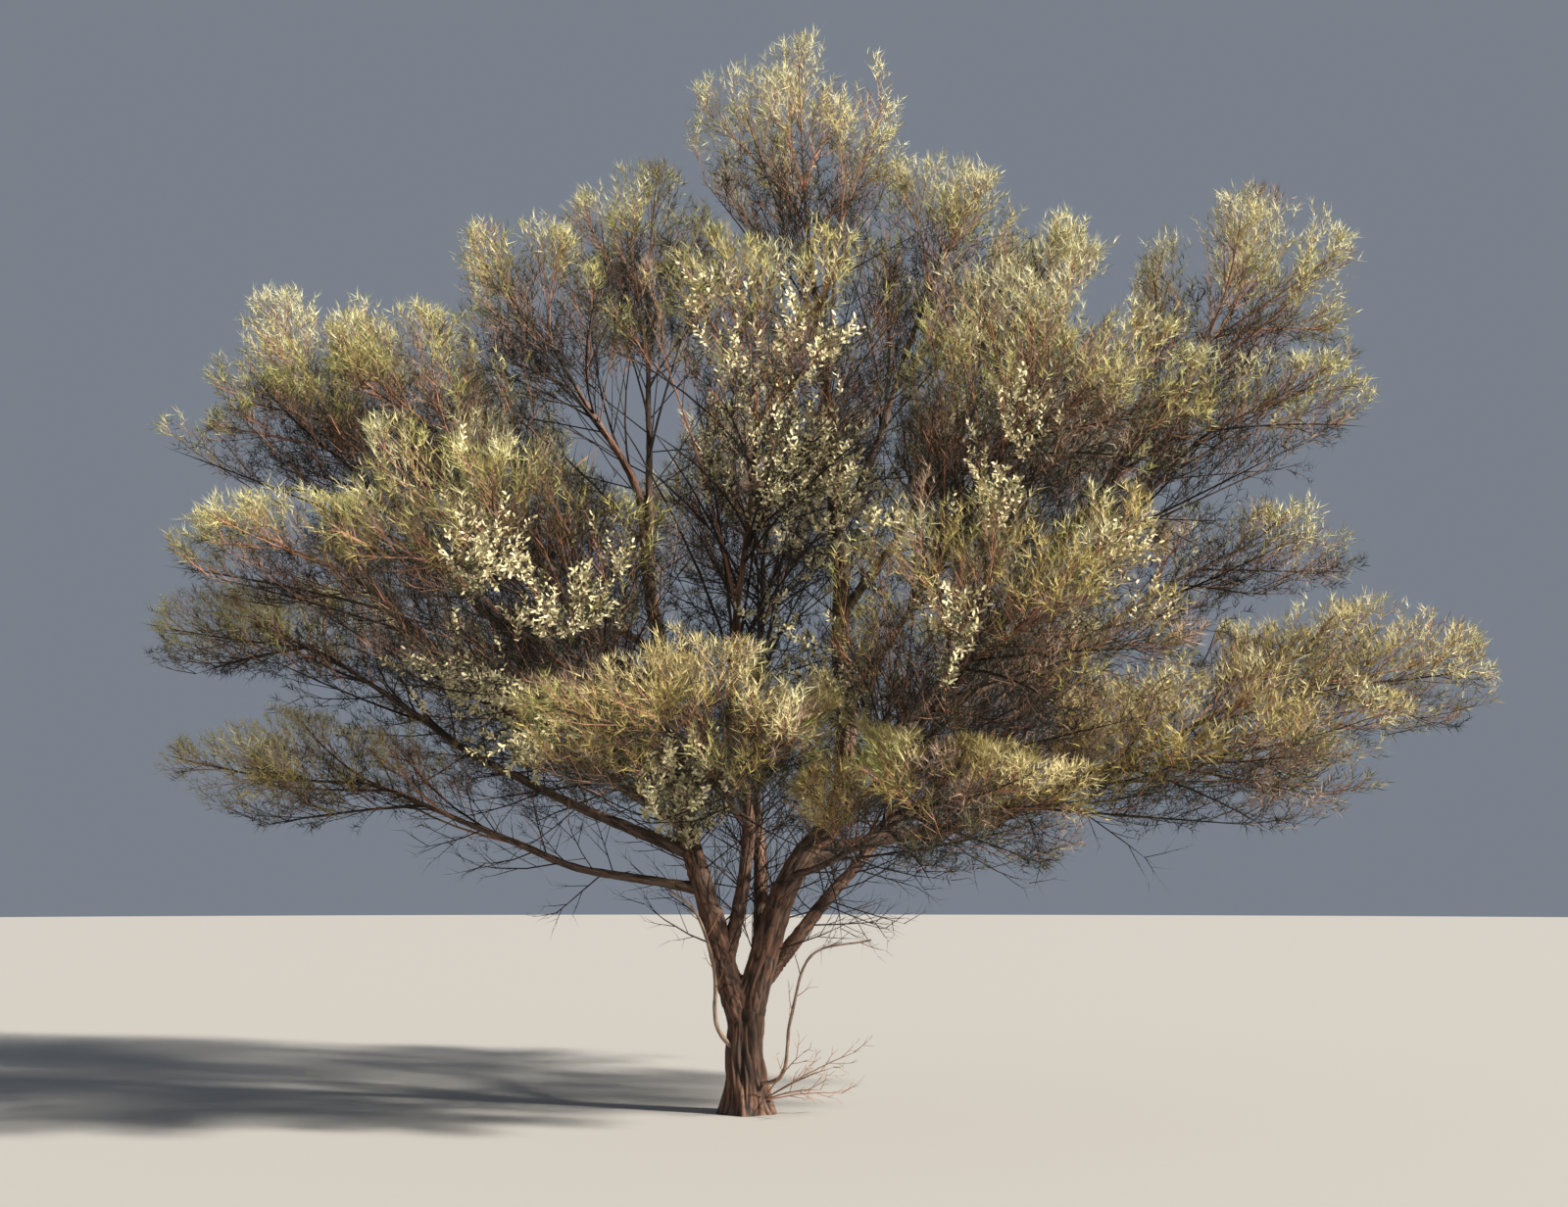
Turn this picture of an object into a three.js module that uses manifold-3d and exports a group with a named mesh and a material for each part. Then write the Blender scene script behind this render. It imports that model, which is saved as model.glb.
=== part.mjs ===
// A spreading dry-country acacia: a short forked trunk, long limbs that fan out from low down, and a wide
// crown of separate masses of needle-fine foliage, with a few clumps of broad pale leaves among them.
// Millimetres, +Z up. The origin is the middle of the flat cut under the trunk, at ground level. +X runs
// to the right of the front view and +Y away from it.

import * as THREE from "three";
import { mergeVertices } from "three/addons/utils/BufferGeometryUtils.js";
import Module from "manifold-3d";

const wasm = await Module();
wasm.setup();

// The trunk: its height to the fork, how far its middle leans to the left, its radius above the flare and
// at the fork, and the flare of its foot, which is cut into root lobes.
const FORK_HEIGHT = 620;
const TRUNK_LEAN = 14;
const TRUNK_RADIUS = 150;
const FORK_RADIUS = 122;
const FLARE = 52;
const FLARE_HEIGHT = 130;
const ROOT_LOBES = 5;
const LOBE_DEPTH = 0.42;

// A limb's radius where it ends, what each millimetre of a bough's length adds at its foot, how a limb
// tapers between the two, and how far and where a bough sags, as shares of its length.
const LIMB_TIP_RADIUS = 15;
const BOUGH_TAPER = 0.0105;
const TAPER_POWER = 0.9;
const BOUGH_SAG = 0.05;
const SAG_AT = 0.45;

// The facets round each kind of limb, and the length of one step along it.
const TRUNK_FACETS = { sides: 20, step: 90 };
const STEM_FACETS = { sides: 8, step: 400 };
const BOUGH_FACETS = { sides: 5, step: 500 };

// The clear gap between a piece and what carries it, and the room that foliage leaves round other pieces.
const SEAT_GAP = 0.35;
const FOLIAGE_CLEARANCE = 4;

// The sizes of the masses of foliage: half their width, depth and height.
const SMALL = [800, 860, 800];
const ROUND = [960, 960, 920];
const BROAD = [1260, 1160, 1070];
const FLAT = [1080, 960, 480];
const WIDE = [1180, 1020, 620];
const LONG = [1420, 1080, 680];

// The main stems: what each leaves and at what share of its length, what else it stands against, its
// radius at the foot, the bends that show, and the mass of foliage that it ends in.
const STEMS = [
  {
    name: "right_stem", from: "trunk", at: 0.82, beside: [], radius: 108,
    bends: [
      [85, 0, 960], [330, 0, 1590], [610, 10, 2010], [680, 60, 2600], [640, 100, 3500], [610, 110, 4300],
    ],
    mass: "top", middle: [360, 200, 6900], size: ROUND,
  },
  {
    name: "left_stem", from: "trunk", at: 0.8, beside: ["right_stem"], radius: 96,
    bends: [[-150, -20, 930], [-320, -20, 1560], [-470, -40, 2120], [-640, 40, 3100], [-800, 220, 4300]],
    mass: "left_dome", middle: [-1560, -100, 5570], size: SMALL,
  },
  {
    name: "centre_stem", from: "left_stem", at: 0.1, beside: ["right_stem", "trunk"], radius: 56,
    bends: [[-60, 0, 1350], [10, -40, 1950], [-110, -240, 2700]],
    mass: "front_middle", middle: [120, -1500, 4750], size: BROAD,
  },
  {
    name: "back_centre_stem", from: "right_stem", at: 0.07, radius: 60,
    beside: ["trunk", "left_stem", "centre_stem"],
    bends: [[90, 330, 1450], [40, 700, 2150]],
    mass: "back_middle", middle: [100, 2400, 4800], size: BROAD,
  },
  {
    name: "back_stem", from: "right_stem", at: 0.045, radius: 64,
    beside: ["trunk", "left_stem", "back_centre_stem"],
    bends: [[270, 210, 1080], [900, 800, 1760]],
    mass: "back_low_right", middle: [2200, 2200, 3000], size: BROAD,
  },
];

// The boughs: what each leaves and at what share of its length, and the mass of foliage it ends in, which
// has the bough's name. The few thick ones, which carry others, state their radius.
const BOUGHS = [
  { name: "top_right", from: "right_stem", at: 0.62, middle: [1390, -200, 5970], size: SMALL },
  { name: "left_crest", from: "left_stem", at: 0.66, middle: [-770, 500, 6200], size: SMALL },
  { name: "left_shoulder", from: "left_stem", at: 0.48, middle: [-2300, -600, 4800], size: SMALL },
  { name: "left_high", from: "left_stem", at: 0.4, middle: [-3150, -100, 4720], size: FLAT },
  { name: "left_horn", from: "left_high", at: 0.55, middle: [-3270, 500, 5250], size: SMALL },
  { name: "left_middle", from: "left_stem", at: 0.31, middle: [-2900, -800, 3740], size: FLAT },
  { name: "left_low", from: "left_stem", at: 0.27, middle: [-3470, 600, 3360], size: FLAT },
  { name: "low_left", from: "left_stem", at: 0.215, middle: [-3000, -200, 2310], size: FLAT },
  { name: "left_front", from: "left_stem", at: 0.36, middle: [-1520, -1800, 3520], size: BROAD },
  { name: "front_low", from: "centre_stem", at: 0.3, middle: [-350, -2200, 2450], size: WIDE },
  { name: "front_right_low", from: "right_stem", at: 0.19, middle: [1200, -1800, 2080], size: WIDE },
  { name: "right_peak", from: "right_stem", at: 0.31, radius: 62, middle: [3560, 0, 5660], size: ROUND },
  { name: "right_crest", from: "right_stem", at: 0.52, middle: [2030, 200, 5690], size: SMALL },
  { name: "right_high_tip", from: "right_peak", at: 0.42, middle: [3350, -500, 4750], size: FLAT },
  { name: "right_middle", from: "right_stem", at: 0.41, middle: [1850, -1400, 4620], size: BROAD },
  { name: "right_middle_tip", from: "right_peak", at: 0.2, middle: [3530, 400, 3900], size: FLAT },
  { name: "right_front", from: "right_stem", at: 0.24, middle: [1600, -2000, 3080], size: BROAD },
  { name: "right_low_tip", from: "right_stem", at: 0.215, radius: 56, middle: [4180, 0, 3020], size: WIDE },
  { name: "right_low", from: "right_low_tip", at: 0.36, middle: [3050, -1000, 2420], size: LONG },
  { name: "back_left", from: "left_stem", at: 0.56, middle: [-2200, 1800, 4700], size: BROAD },
  { name: "back_right", from: "back_stem", at: 0.6, middle: [2300, 1800, 4900], size: BROAD },
  { name: "back_low_left", from: "back_centre_stem", at: 0.4, middle: [-1900, 2100, 3000], size: BROAD },
];

// The clumps of broad pale leaves, each on the side of a limb.
const PALE_CLUMPS = [
  { name: "pale_clump_left", from: "left_front", at: 0.74, middle: [-1480, -1150, 2500] },
  { name: "pale_clump_right", from: "right_front", at: 0.62, middle: [480, -1300, 2850] },
  { name: "pale_clump_low", from: "left_stem", at: 0.235, middle: [-420, -560, 2180] },
];
const CLUMP_SIZE = [400, 380, 390];

// Two bare dead limbs low on the trunk, which end in no foliage.
const DEAD_LIMBS = [
  {
    name: "dead_limb_left", from: "trunk", at: 0.55, radius: 19, tipRadius: 8,
    bends: [[-185, -120, 560], [-215, -165, 950], [-340, -200, 1330]], end: [-520, -240, 1480],
  },
  {
    name: "dead_limb_right", from: "trunk", at: 0.3, radius: 16, tipRadius: 7,
    bends: [[230, -190, 260], [300, -230, 640], [430, -260, 1050]], end: [830, -280, 1150],
  },
];

// A mass of foliage has one stem, which starts where its limb ends and runs part of the way to the mass's
// middle. A limb ends at this share of the mass's own radius from its middle.
const ENTRY = 0.8;
const MASS_STEM = { radius: LIMB_TIP_RADIUS, endRadius: 12, reach: 0.5, sides: 5, steps: 3 };
const CLUMP_STEM = { radius: 9, endRadius: 7, reach: 0.5, sides: 5, steps: 3 };

// The shoots of a mass: how many are tried, and from what share of the stem's length they start. A shoot
// is a three-sided twig, bare at its foot, with rows of three blades that stand out and forward from its
// sides. A blade stands for a spray of needles. root and tip are the twig's radii, bare and core the
// shares of its length where the blades begin and end, row the length that each row takes, blade the
// blades' length, lean how far they stand away from the twig, and shortest the least length of a shoot.
const SHOOTS = 11;
const FIRST_SHOOT = 0.35;
const SHOOT = { root: 8, tip: 9, bare: 0.15, core: 0.74, row: 285, blade: 660, lean: 0.85, shortest: 430 };
const CLUMP_SHOOTS = 4;
const LEAF_SHOOT = { root: 6, tip: 5, bare: 0.25, core: 0.8, row: 120, blade: 210, lean: 1, shortest: 150 };
const LONGEST_SHOOT = 1400;
const SHORTEST_BLADE = 0.3;

// The shoots fan out evenly round the mass's axis, which leans upward from its stem's direction: the first
// this close to the axis and the last this far from it. One that finds no room is tried again, a little
// aside and a little shorter each time.
const INNERMOST = 0.35;
const WIDEST_ANGLE = THREE.MathUtils.degToRad(125);
const GOLDEN_ANGLE = Math.PI * (3 - Math.sqrt(5));
const UPWARD = 0.35;
const TRIES = 20;
const ASIDE = 0.08;
const SHORTER = 0.01;
const REACH_STEP = 0.93;

const COLOURS = { bark: 0x5a4638, dead: 0x8c7a6c, pale: 0xcfcea4 };
const FOLIAGE_COLOURS = [0x77783f, 0x8a8449, 0x697049];
const ROUGHNESS = 0.85;

// What sets the streams of numbers of the masses far apart.
const SEED_STEP = 104729;

const UP = new THREE.Vector3(0, 0, 1);
const TWO_PI = 2 * Math.PI;
const { lerp } = THREE.MathUtils;
const point = (p) => new THREE.Vector3(...p);
const between = (a, b, share) => a.clone().lerp(b, share);
const beyond = (place, direction, distance) => place.clone().addScaledVector(direction, distance);
const ringPoint = (angle) => new THREE.Vector3(Math.cos(angle), Math.sin(angle), 0);

// A repeatable stream of numbers from 0 to 1, by a common 32-bit mixing rule.
function seeded(seed) {
  let state = seed * SEED_STEP;
  return () => {
    state = (state + 0x6d2b79f5) | 0;
    let mixed = Math.imul(state ^ (state >>> 15), 1 | state);
    mixed = (mixed + Math.imul(mixed ^ (mixed >>> 7), 61 | mixed)) ^ mixed;
    return ((mixed ^ (mixed >>> 14)) >>> 0) / 2 ** 32;
  };
}

// A closed geometry as a solid that can be joined and cut.
function solidOf(geometry) {
  const bare = new THREE.BufferGeometry();
  bare.setAttribute("position", geometry.getAttribute("position"));
  bare.setIndex(geometry.index);
  const merged = mergeVertices(bare, 1e-3);
  const vertProperties = merged.attributes.position.array;
  return new wasm.Manifold(new wasm.Mesh({ numProp: 3, vertProperties, triVerts: merged.index.array }));
}

// A closed solid from its corners and its three-cornered faces.
function facetedSolid(corners, faces) {
  const geometry = new THREE.BufferGeometry();
  const numbers = corners.flatMap((corner) => corner.toArray());
  geometry.setAttribute("position", new THREE.Float32BufferAttribute(numbers, 3));
  geometry.setIndex(faces.flat());
  return solidOf(geometry);
}

// The largest of a solid's separate bodies.
function largest(solid) {
  return solid.decompose().reduce((a, b) => (a.volume() > b.volume() ? a : b));
}

// A solid together with the box round it.
function boxed(solid) {
  return { solid, box: solid.boundingBox() };
}

// True if a solid keeps clear of all the others.
function isClear(solid, others) {
  const { min, max } = solid.boundingBox();
  const room = FOLIAGE_CLEARANCE;
  return others.every(({ solid: other, box }) => {
    const isFar = [0, 1, 2].some((k) => min[k] > box.max[k] + room || box.min[k] > max[k] + room);
    return isFar || solid.minGap(other, room) >= room;
  });
}

// A cylinder bent along a limb's curve. The limb's radiusAt takes the share of its length and the angle
// round it. grow thickens it all over and lengthens both ends.
function limbGeometry({ curve, radiusAt, sides, steps }, grow = 0) {
  const geometry = new THREE.CylinderGeometry(1, 1, 1, sides, steps);
  const { tangents, normals, binormals } = curve.computeFrenetFrames(steps);
  const place = geometry.attributes.position;
  const v = new THREE.Vector3();
  for (let i = 0; i < place.count; i++) {
    v.fromBufferAttribute(place, i);
    const row = Math.round((v.y + 0.5) * steps);
    const radius = radiusAt(row / steps, Math.atan2(v.z, v.x)) + grow;
    const middle = curve.getPointAt(row / steps);
    if (row === 0) middle.addScaledVector(tangents[row], -2 * grow);
    if (row === steps) middle.addScaledVector(tangents[row], 2 * grow);
    middle.addScaledVector(normals[row], v.x * radius);
    middle.addScaledVector(binormals[row], -v.z * radius);
    place.setXYZ(i, middle.x, middle.y, middle.z);
  }
  return geometry;
}

// The trunk, whose foot spreads into root lobes.
function planTrunk() {
  const curve = new THREE.CatmullRomCurve3([
    new THREE.Vector3(0, 0, 0),
    new THREE.Vector3(0, 0, FORK_HEIGHT / 3),
    new THREE.Vector3(-TRUNK_LEAN, 0, (FORK_HEIGHT * 2) / 3),
    new THREE.Vector3(0, 0, FORK_HEIGHT),
  ]);
  const radiusAt = (share, angle) => {
    const flare = FLARE * Math.exp((-share * FORK_HEIGHT) / FLARE_HEIGHT);
    const lobes = 1 + LOBE_DEPTH * Math.cos(ROOT_LOBES * angle);
    return lerp(TRUNK_RADIUS, FORK_RADIUS, share) + flare * lobes;
  };
  return { curve, radiusAt, sides: TRUNK_FACETS.sides, steps: Math.ceil(FORK_HEIGHT / TRUNK_FACETS.step) };
}

// The trunk's solid, with the corners of its foot set exactly level with the ground.
function trunkSolid(plan) {
  const geometry = limbGeometry(plan);
  const place = geometry.attributes.position;
  for (let i = 0; i < place.count; i++) if (Math.abs(place.getZ(i)) < 1) place.setZ(i, 0);
  return solidOf(geometry);
}

// A limb that tapers along a curve, from its foot inside what it leaves to its tip.
function planLimb(entry, limbs, facets, mass) {
  const start = limbs.get(entry.from).curve.getPointAt(entry.at);
  const bends = (entry.bends || []).map(point);
  const end = mass ? entryOf(mass, bends[bends.length - 1] || start) : point(entry.end);
  const sag = BOUGH_SAG * start.distanceTo(end);
  if (!bends.length) bends.push(beyond(between(start, end, SAG_AT), UP, -sag));
  const curve = new THREE.CatmullRomCurve3([start, ...bends, end]);
  const length = curve.getLength();
  const tip = entry.tipRadius || LIMB_TIP_RADIUS;
  const foot = entry.radius || tip + length * BOUGH_TAPER;
  const radiusAt = (share) => lerp(tip, foot, (1 - share) ** TAPER_POWER);
  return { curve, radiusAt, sides: facets.sides, steps: Math.ceil(length / facets.step) };
}

// A limb's solid, cut clear of what it leaves and of what it stands against.
function limbSolid(plan, cutters) {
  const cuts = cutters.map((cutter) => solidOf(limbGeometry(cutter, SEAT_GAP)));
  return largest(solidOf(limbGeometry(plan)).subtract(wasm.Manifold.union(cuts)));
}

// How far a place is from the middle of a mass, with 1 at its edge.
function distanceIn(mass, place) {
  return place.clone().sub(mass.middle).divide(mass.size).length();
}

// The place where a limb that comes from start enters its mass.
function entryOf(mass, start) {
  const outward = start.clone().sub(mass.middle);
  return outward.multiplyScalar(ENTRY / distanceIn(mass, start)).add(mass.middle);
}

// The distance from a place inside a mass to the mass's edge, along a direction.
function distanceToEdge(mass, place, direction) {
  const p = place.clone().sub(mass.middle).divide(mass.size);
  const d = direction.clone().divide(mass.size);
  const a = d.dot(d);
  const b = p.dot(d);
  const c = p.dot(p) - 1;
  return (-b + Math.sqrt(Math.max(0, b * b - a * c))) / a;
}

// The distance from a place in a mass, along a direction, to where the space of another mass begins. Each
// place belongs to the mass that it lies deepest in.
function reachFrom(mass, place, direction, longest) {
  const isOwn = (end) => {
    const own = distanceIn(mass, end);
    return mass.neighbours.every((other) => distanceIn(other, end) >= own);
  };
  const shortest = SHORTEST_BLADE * mass.shoot.blade;
  let reach = Math.min(longest, distanceToEdge(mass, place, direction));
  while (reach > shortest && !isOwn(beyond(place, direction, reach))) reach *= REACH_STEP;
  return reach;
}

// The directions in which a mass's shoots fan out: a spiral of even spacing round the axis.
function fanDirections(axis, count, random) {
  const turn = new THREE.Quaternion().setFromUnitVectors(UP, axis);
  const first = random() * TWO_PI;
  return Array.from({ length: count }, (_, k) => {
    const lean = WIDEST_ANGLE * Math.sqrt((k + INNERMOST) / count);
    const sideways = ringPoint(first + k * GOLDEN_ANGLE).multiplyScalar(Math.sin(lean));
    return beyond(sideways, UP, Math.cos(lean)).applyQuaternion(turn);
  });
}

// One shoot of a mass, from start along direction, or nothing if its twig has no room. Each ring of three
// corners is turned by half a step from the one before, so three of the six faces between two rings have
// an edge on the lower ring. Those are the sockets, which are pulled out into blades where there is room.
function growShoot(mass, start, direction, length, roll, hasRoom) {
  const { root, tip, bare, core, row, blade, lean } = mass.shoot;
  const turn = new THREE.Quaternion().setFromUnitVectors(UP, direction);
  const around = (angle) => ringPoint(angle).applyQuaternion(turn);
  const rows = Math.max(1, Math.round(((core - bare) * length) / row));
  const corners = [];
  const faces = [[0, 2, 1]];
  const sockets = [];
  for (let ring = 0; ring <= rows + 1; ring++) {
    const share = ring === 0 ? 0 : lerp(bare, core, (ring - 1) / rows);
    const middle = beyond(start, direction, length * share);
    for (let j = 0; j < 3; j++) {
      const angle = roll + (ring + 2 * j) * (Math.PI / 3);
      corners.push(beyond(middle, around(angle), lerp(root, tip, share / core)));
      if (ring > rows) continue;
      const [left, right] = [3 * ring + j, 3 * ring + ((j + 1) % 3)];
      faces.push([right, right + 3, left + 3]);
      if (ring === 0) faces.push([left, right, left + 3]);
      else sockets.push({ corners: [left, right, left + 3], middle, outward: around(angle + Math.PI / 3) });
    }
  }
  const last = 3 * (rows + 1);
  const far = corners.push(beyond(start, direction, length)) - 1;
  faces.push([last, last + 1, far], [last + 1, last + 2, far], [last + 2, last, far]);
  if (!hasRoom(facetedSolid(corners, [...faces, ...sockets.map((socket) => socket.corners)]))) return null;
  for (const socket of sockets) {
    const forward = direction.clone().multiplyScalar(Math.cos(lean));
    const outward = beyond(forward, socket.outward, Math.sin(lean));
    const reach = reachFrom(mass, socket.middle, outward, blade);
    const [left, right, above] = socket.corners;
    const tipAt = beyond(socket.middle, outward, reach);
    const bladeCorners = [corners[left], corners[right], corners[above], tipAt];
    const bladeSolid = facetedSolid(bladeCorners, [[0, 2, 1], [0, 1, 3], [1, 2, 3], [2, 0, 3]]);
    if (reach > SHORTEST_BLADE * blade && hasRoom(bladeSolid, true)) {
      const end = corners.push(tipAt) - 1;
      faces.push([left, right, end], [right, above, end], [above, left, end]);
    } else {
      faces.push(socket.corners);
    }
  }
  return facetedSolid(corners, faces);
}

// A mass of foliage: one stem, and the shoots that fan from it to fill the mass's own space. A shoot that
// would come near another piece is tried again and in the end left out.
function growMass(mass, foot, heading, others, seed) {
  const random = seeded(seed);
  const { radius, endRadius, reach, sides, steps } = mass.stem;
  const end = between(foot, mass.middle, reach);
  const bend = beyond(foot, heading, foot.distanceTo(end) / 2);
  const curve = new THREE.QuadraticBezierCurve3(foot, bend, end);
  const radiusAt = (share) => lerp(radius, endRadius, share);
  const stem = boxed(solidOf(limbGeometry({ curve, radiusAt, sides, steps })));
  const grown = [];
  const hasRoom = (solid, isBlade) => isClear(solid, [...others, ...grown, ...(isBlade ? [stem] : [])]);
  const axis = mass.middle.clone().sub(foot).normalize().addScaledVector(UP, UPWARD).normalize();
  for (const outward of fanDirections(axis, mass.shoots, random)) {
    for (let attempt = 0; attempt < TRIES; attempt++) {
      const start = curve.getPointAt(lerp(FIRST_SHOOT, 1, random()));
      const aside = new THREE.Vector3(random() - 0.5, random() - 0.5, random() - 0.5);
      const toward = beyond(outward, aside, ASIDE * attempt).normalize().multiply(mass.size);
      const direction = toward.add(mass.middle).sub(start).normalize();
      const length = reachFrom(mass, start, direction, LONGEST_SHOOT) * (1 - SHORTER * attempt);
      const roll = random() * Math.PI;
      if (length < mass.shoot.shortest) continue;
      const shoot = growShoot(mass, start, direction, length, roll, hasRoom);
      if (!shoot) continue;
      grown.push(boxed(shoot));
      break;
    }
  }
  return largest(wasm.Manifold.union([stem.solid, ...grown.map((shoot) => shoot.solid)]));
}

// One finished mesh of the tree.
function meshOf(name, solid, color) {
  const { vertProperties, triVerts } = solid.getMesh();
  const geometry = new THREE.BufferGeometry();
  geometry.setAttribute("position", new THREE.BufferAttribute(vertProperties, 3));
  geometry.setIndex(new THREE.BufferAttribute(triVerts, 1));
  geometry.computeVertexNormals();
  const material = new THREE.MeshStandardMaterial({ color, roughness: ROUGHNESS, flatShading: true });
  const mesh = new THREE.Mesh(geometry, material);
  mesh.name = name;
  return mesh;
}

// The whole tree: trunk, stems, boughs and dead limbs first, then the foliage that grows clear of them.
function buildTree() {
  const tree = new THREE.Group();
  const standing = [];
  const add = (name, solid, colour) => {
    standing.push(boxed(solid));
    tree.add(meshOf(name, solid, colour));
  };

  const limbs = new Map([["trunk", planTrunk()]]);
  add("trunk", trunkSolid(limbs.get("trunk")), COLOURS.bark);
  const addLimb = (name, entry, facets, mass, colour) => {
    const plan = planLimb(entry, limbs, facets, mass);
    limbs.set(entry.name, plan);
    const cutters = [entry.from, ...(entry.beside || [])].map((other) => limbs.get(other));
    add(name, limbSolid(plan, cutters), colour);
  };

  const carriers = [...STEMS, ...BOUGHS];
  const masses = carriers.map(({ name, mass, middle, size }) => ({
    name: `foliage_${mass || name}`,
    middle: point(middle),
    size: point(size),
    stem: MASS_STEM,
    shoot: SHOOT,
    shoots: SHOOTS,
  }));
  masses.forEach((mass) => (mass.neighbours = masses.filter((other) => other !== mass)));

  STEMS.forEach((entry, i) => addLimb(entry.name, entry, STEM_FACETS, masses[i], COLOURS.bark));
  BOUGHS.forEach((entry, i) => {
    addLimb(`bough_${entry.name}`, entry, BOUGH_FACETS, masses[STEMS.length + i], COLOURS.bark);
  });
  DEAD_LIMBS.forEach((entry) => addLimb(entry.name, entry, BOUGH_FACETS, undefined, COLOURS.dead));

  masses.forEach((mass, i) => {
    const { curve } = limbs.get(carriers[i].name);
    const heading = curve.getTangentAt(1);
    const foot = beyond(curve.getPointAt(1), heading, SEAT_GAP);
    const colour = FOLIAGE_COLOURS[i % FOLIAGE_COLOURS.length];
    add(mass.name, growMass(mass, foot, heading, standing, i + 1), colour);
  });

  PALE_CLUMPS.forEach(({ name, from, at, middle }, i) => {
    const limb = limbs.get(from);
    const clump = {
      middle: point(middle),
      size: point(CLUMP_SIZE),
      stem: CLUMP_STEM,
      shoot: LEAF_SHOOT,
      shoots: CLUMP_SHOOTS,
      neighbours: [],
    };
    const foot = limb.curve.getPointAt(at);
    const heading = clump.middle.clone().sub(foot).normalize();
    const grown = growMass(clump, foot, heading, standing, masses.length + i + 1);
    add(name, largest(grown.subtract(solidOf(limbGeometry(limb, SEAT_GAP)))), COLOURS.pale);
  });
  return tree;
}

export default buildTree();
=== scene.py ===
"""The looks of a spreading needle-leaved acacia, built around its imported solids.

The bark of the trunk and limbs is modelled with its furrows. From the end of each limb the foliage grows
on as branches, branchlets and twigs that carry needles, and a few clumps carry broad pale leaves. Lengths
are in metres, +Z is up and +X is to the right of the front view. The origin is the middle of the flat cut
under the trunk. The file is laid out as an add-on and is run as a script.
"""

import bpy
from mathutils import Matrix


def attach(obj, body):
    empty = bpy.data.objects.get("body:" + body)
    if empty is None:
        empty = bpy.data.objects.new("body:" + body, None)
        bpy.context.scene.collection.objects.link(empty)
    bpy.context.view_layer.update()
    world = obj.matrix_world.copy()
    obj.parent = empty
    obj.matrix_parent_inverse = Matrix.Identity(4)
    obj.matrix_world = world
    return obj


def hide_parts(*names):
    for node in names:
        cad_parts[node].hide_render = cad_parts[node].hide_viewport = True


bl_info = {
    "name": "Spreading Acacia",
    "version": (1, 0, 0),
    "blender": (4, 5, 0),
    "location": "3D View > Sidebar > Acacia",
    "description": "Builds the bark, twigs, needles and pale leaves of a spreading acacia tree",
    "category": "Add Mesh",
}

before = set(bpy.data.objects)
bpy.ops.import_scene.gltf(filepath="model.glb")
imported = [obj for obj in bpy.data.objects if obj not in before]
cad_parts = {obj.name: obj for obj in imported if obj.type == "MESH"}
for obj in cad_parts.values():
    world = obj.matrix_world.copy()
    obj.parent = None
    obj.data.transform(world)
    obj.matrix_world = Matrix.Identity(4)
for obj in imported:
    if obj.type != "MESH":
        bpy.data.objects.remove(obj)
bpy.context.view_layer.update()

import math
from dataclasses import dataclass, fields
from functools import lru_cache

import bpy
import numpy as np
from mathutils import Vector, kdtree, noise

UP = np.array([0.0, 0.0, 1.0])
FULL_TURN = 2 * math.pi
GOLDEN_ANGLE = math.pi * (3 - math.sqrt(5))

# The rise of a unit heading that counts as nearly upright, and the least length that is divided by.
NEARLY_UP = 0.9
LEAST_LENGTH = 1e-12

# The trunk, as in the part's source: its height, lean and radii, and its foot, which flares into lobes.
FORK_HEIGHT = 0.62
TRUNK_LEAN = 0.014
TRUNK_RADIUS = 0.15
FORK_RADIUS = 0.122
FLARE = 0.052
FLARE_HEIGHT = 0.13
ROOT_LOBES = 5
LOBE_DEPTH = 0.42

# How limbs taper, sag and bend, as in the part's source: bends for each metre, the most that they sway,
# also as a share of the foot's radius, and how far apart limbs and axes lie in the noise.
LIMB_TIP_RADIUS = 0.015
BOUGH_TAPER = 0.0105
TAPER_POWER = 0.9
BOUGH_SAG = 0.05
SAG_AT = 0.45
BENDS_EACH_METRE = 1.6
MOST_SWAY = 0.05
SWAY_BY_FOOT = 0.9
LIMBS_APART = 3.7
AXES_APART = 7.3

# How finely a limb's middle line is worked out: its places in all and between two of its points, the share
# over which its heading is taken, and the step between the places that are searched for the nearest limb,
# with the fewest of these on a limb.
LINE_PLACES = 400
CURVE_PLACES = 80
HEADING_STEP = 0.008
SEARCH_STEP = 0.03
FEWEST_SEARCHED = 8

# The sizes of the masses of foliage: half their width, depth and height.
SMALL = (0.8, 0.86, 0.8)
ROUND = (0.96, 0.96, 0.92)
BROAD = (1.26, 1.16, 1.07)
FLAT = (1.08, 0.96, 0.48)
WIDE = (1.18, 1.02, 0.62)
LONG = (1.42, 1.08, 0.68)

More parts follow.
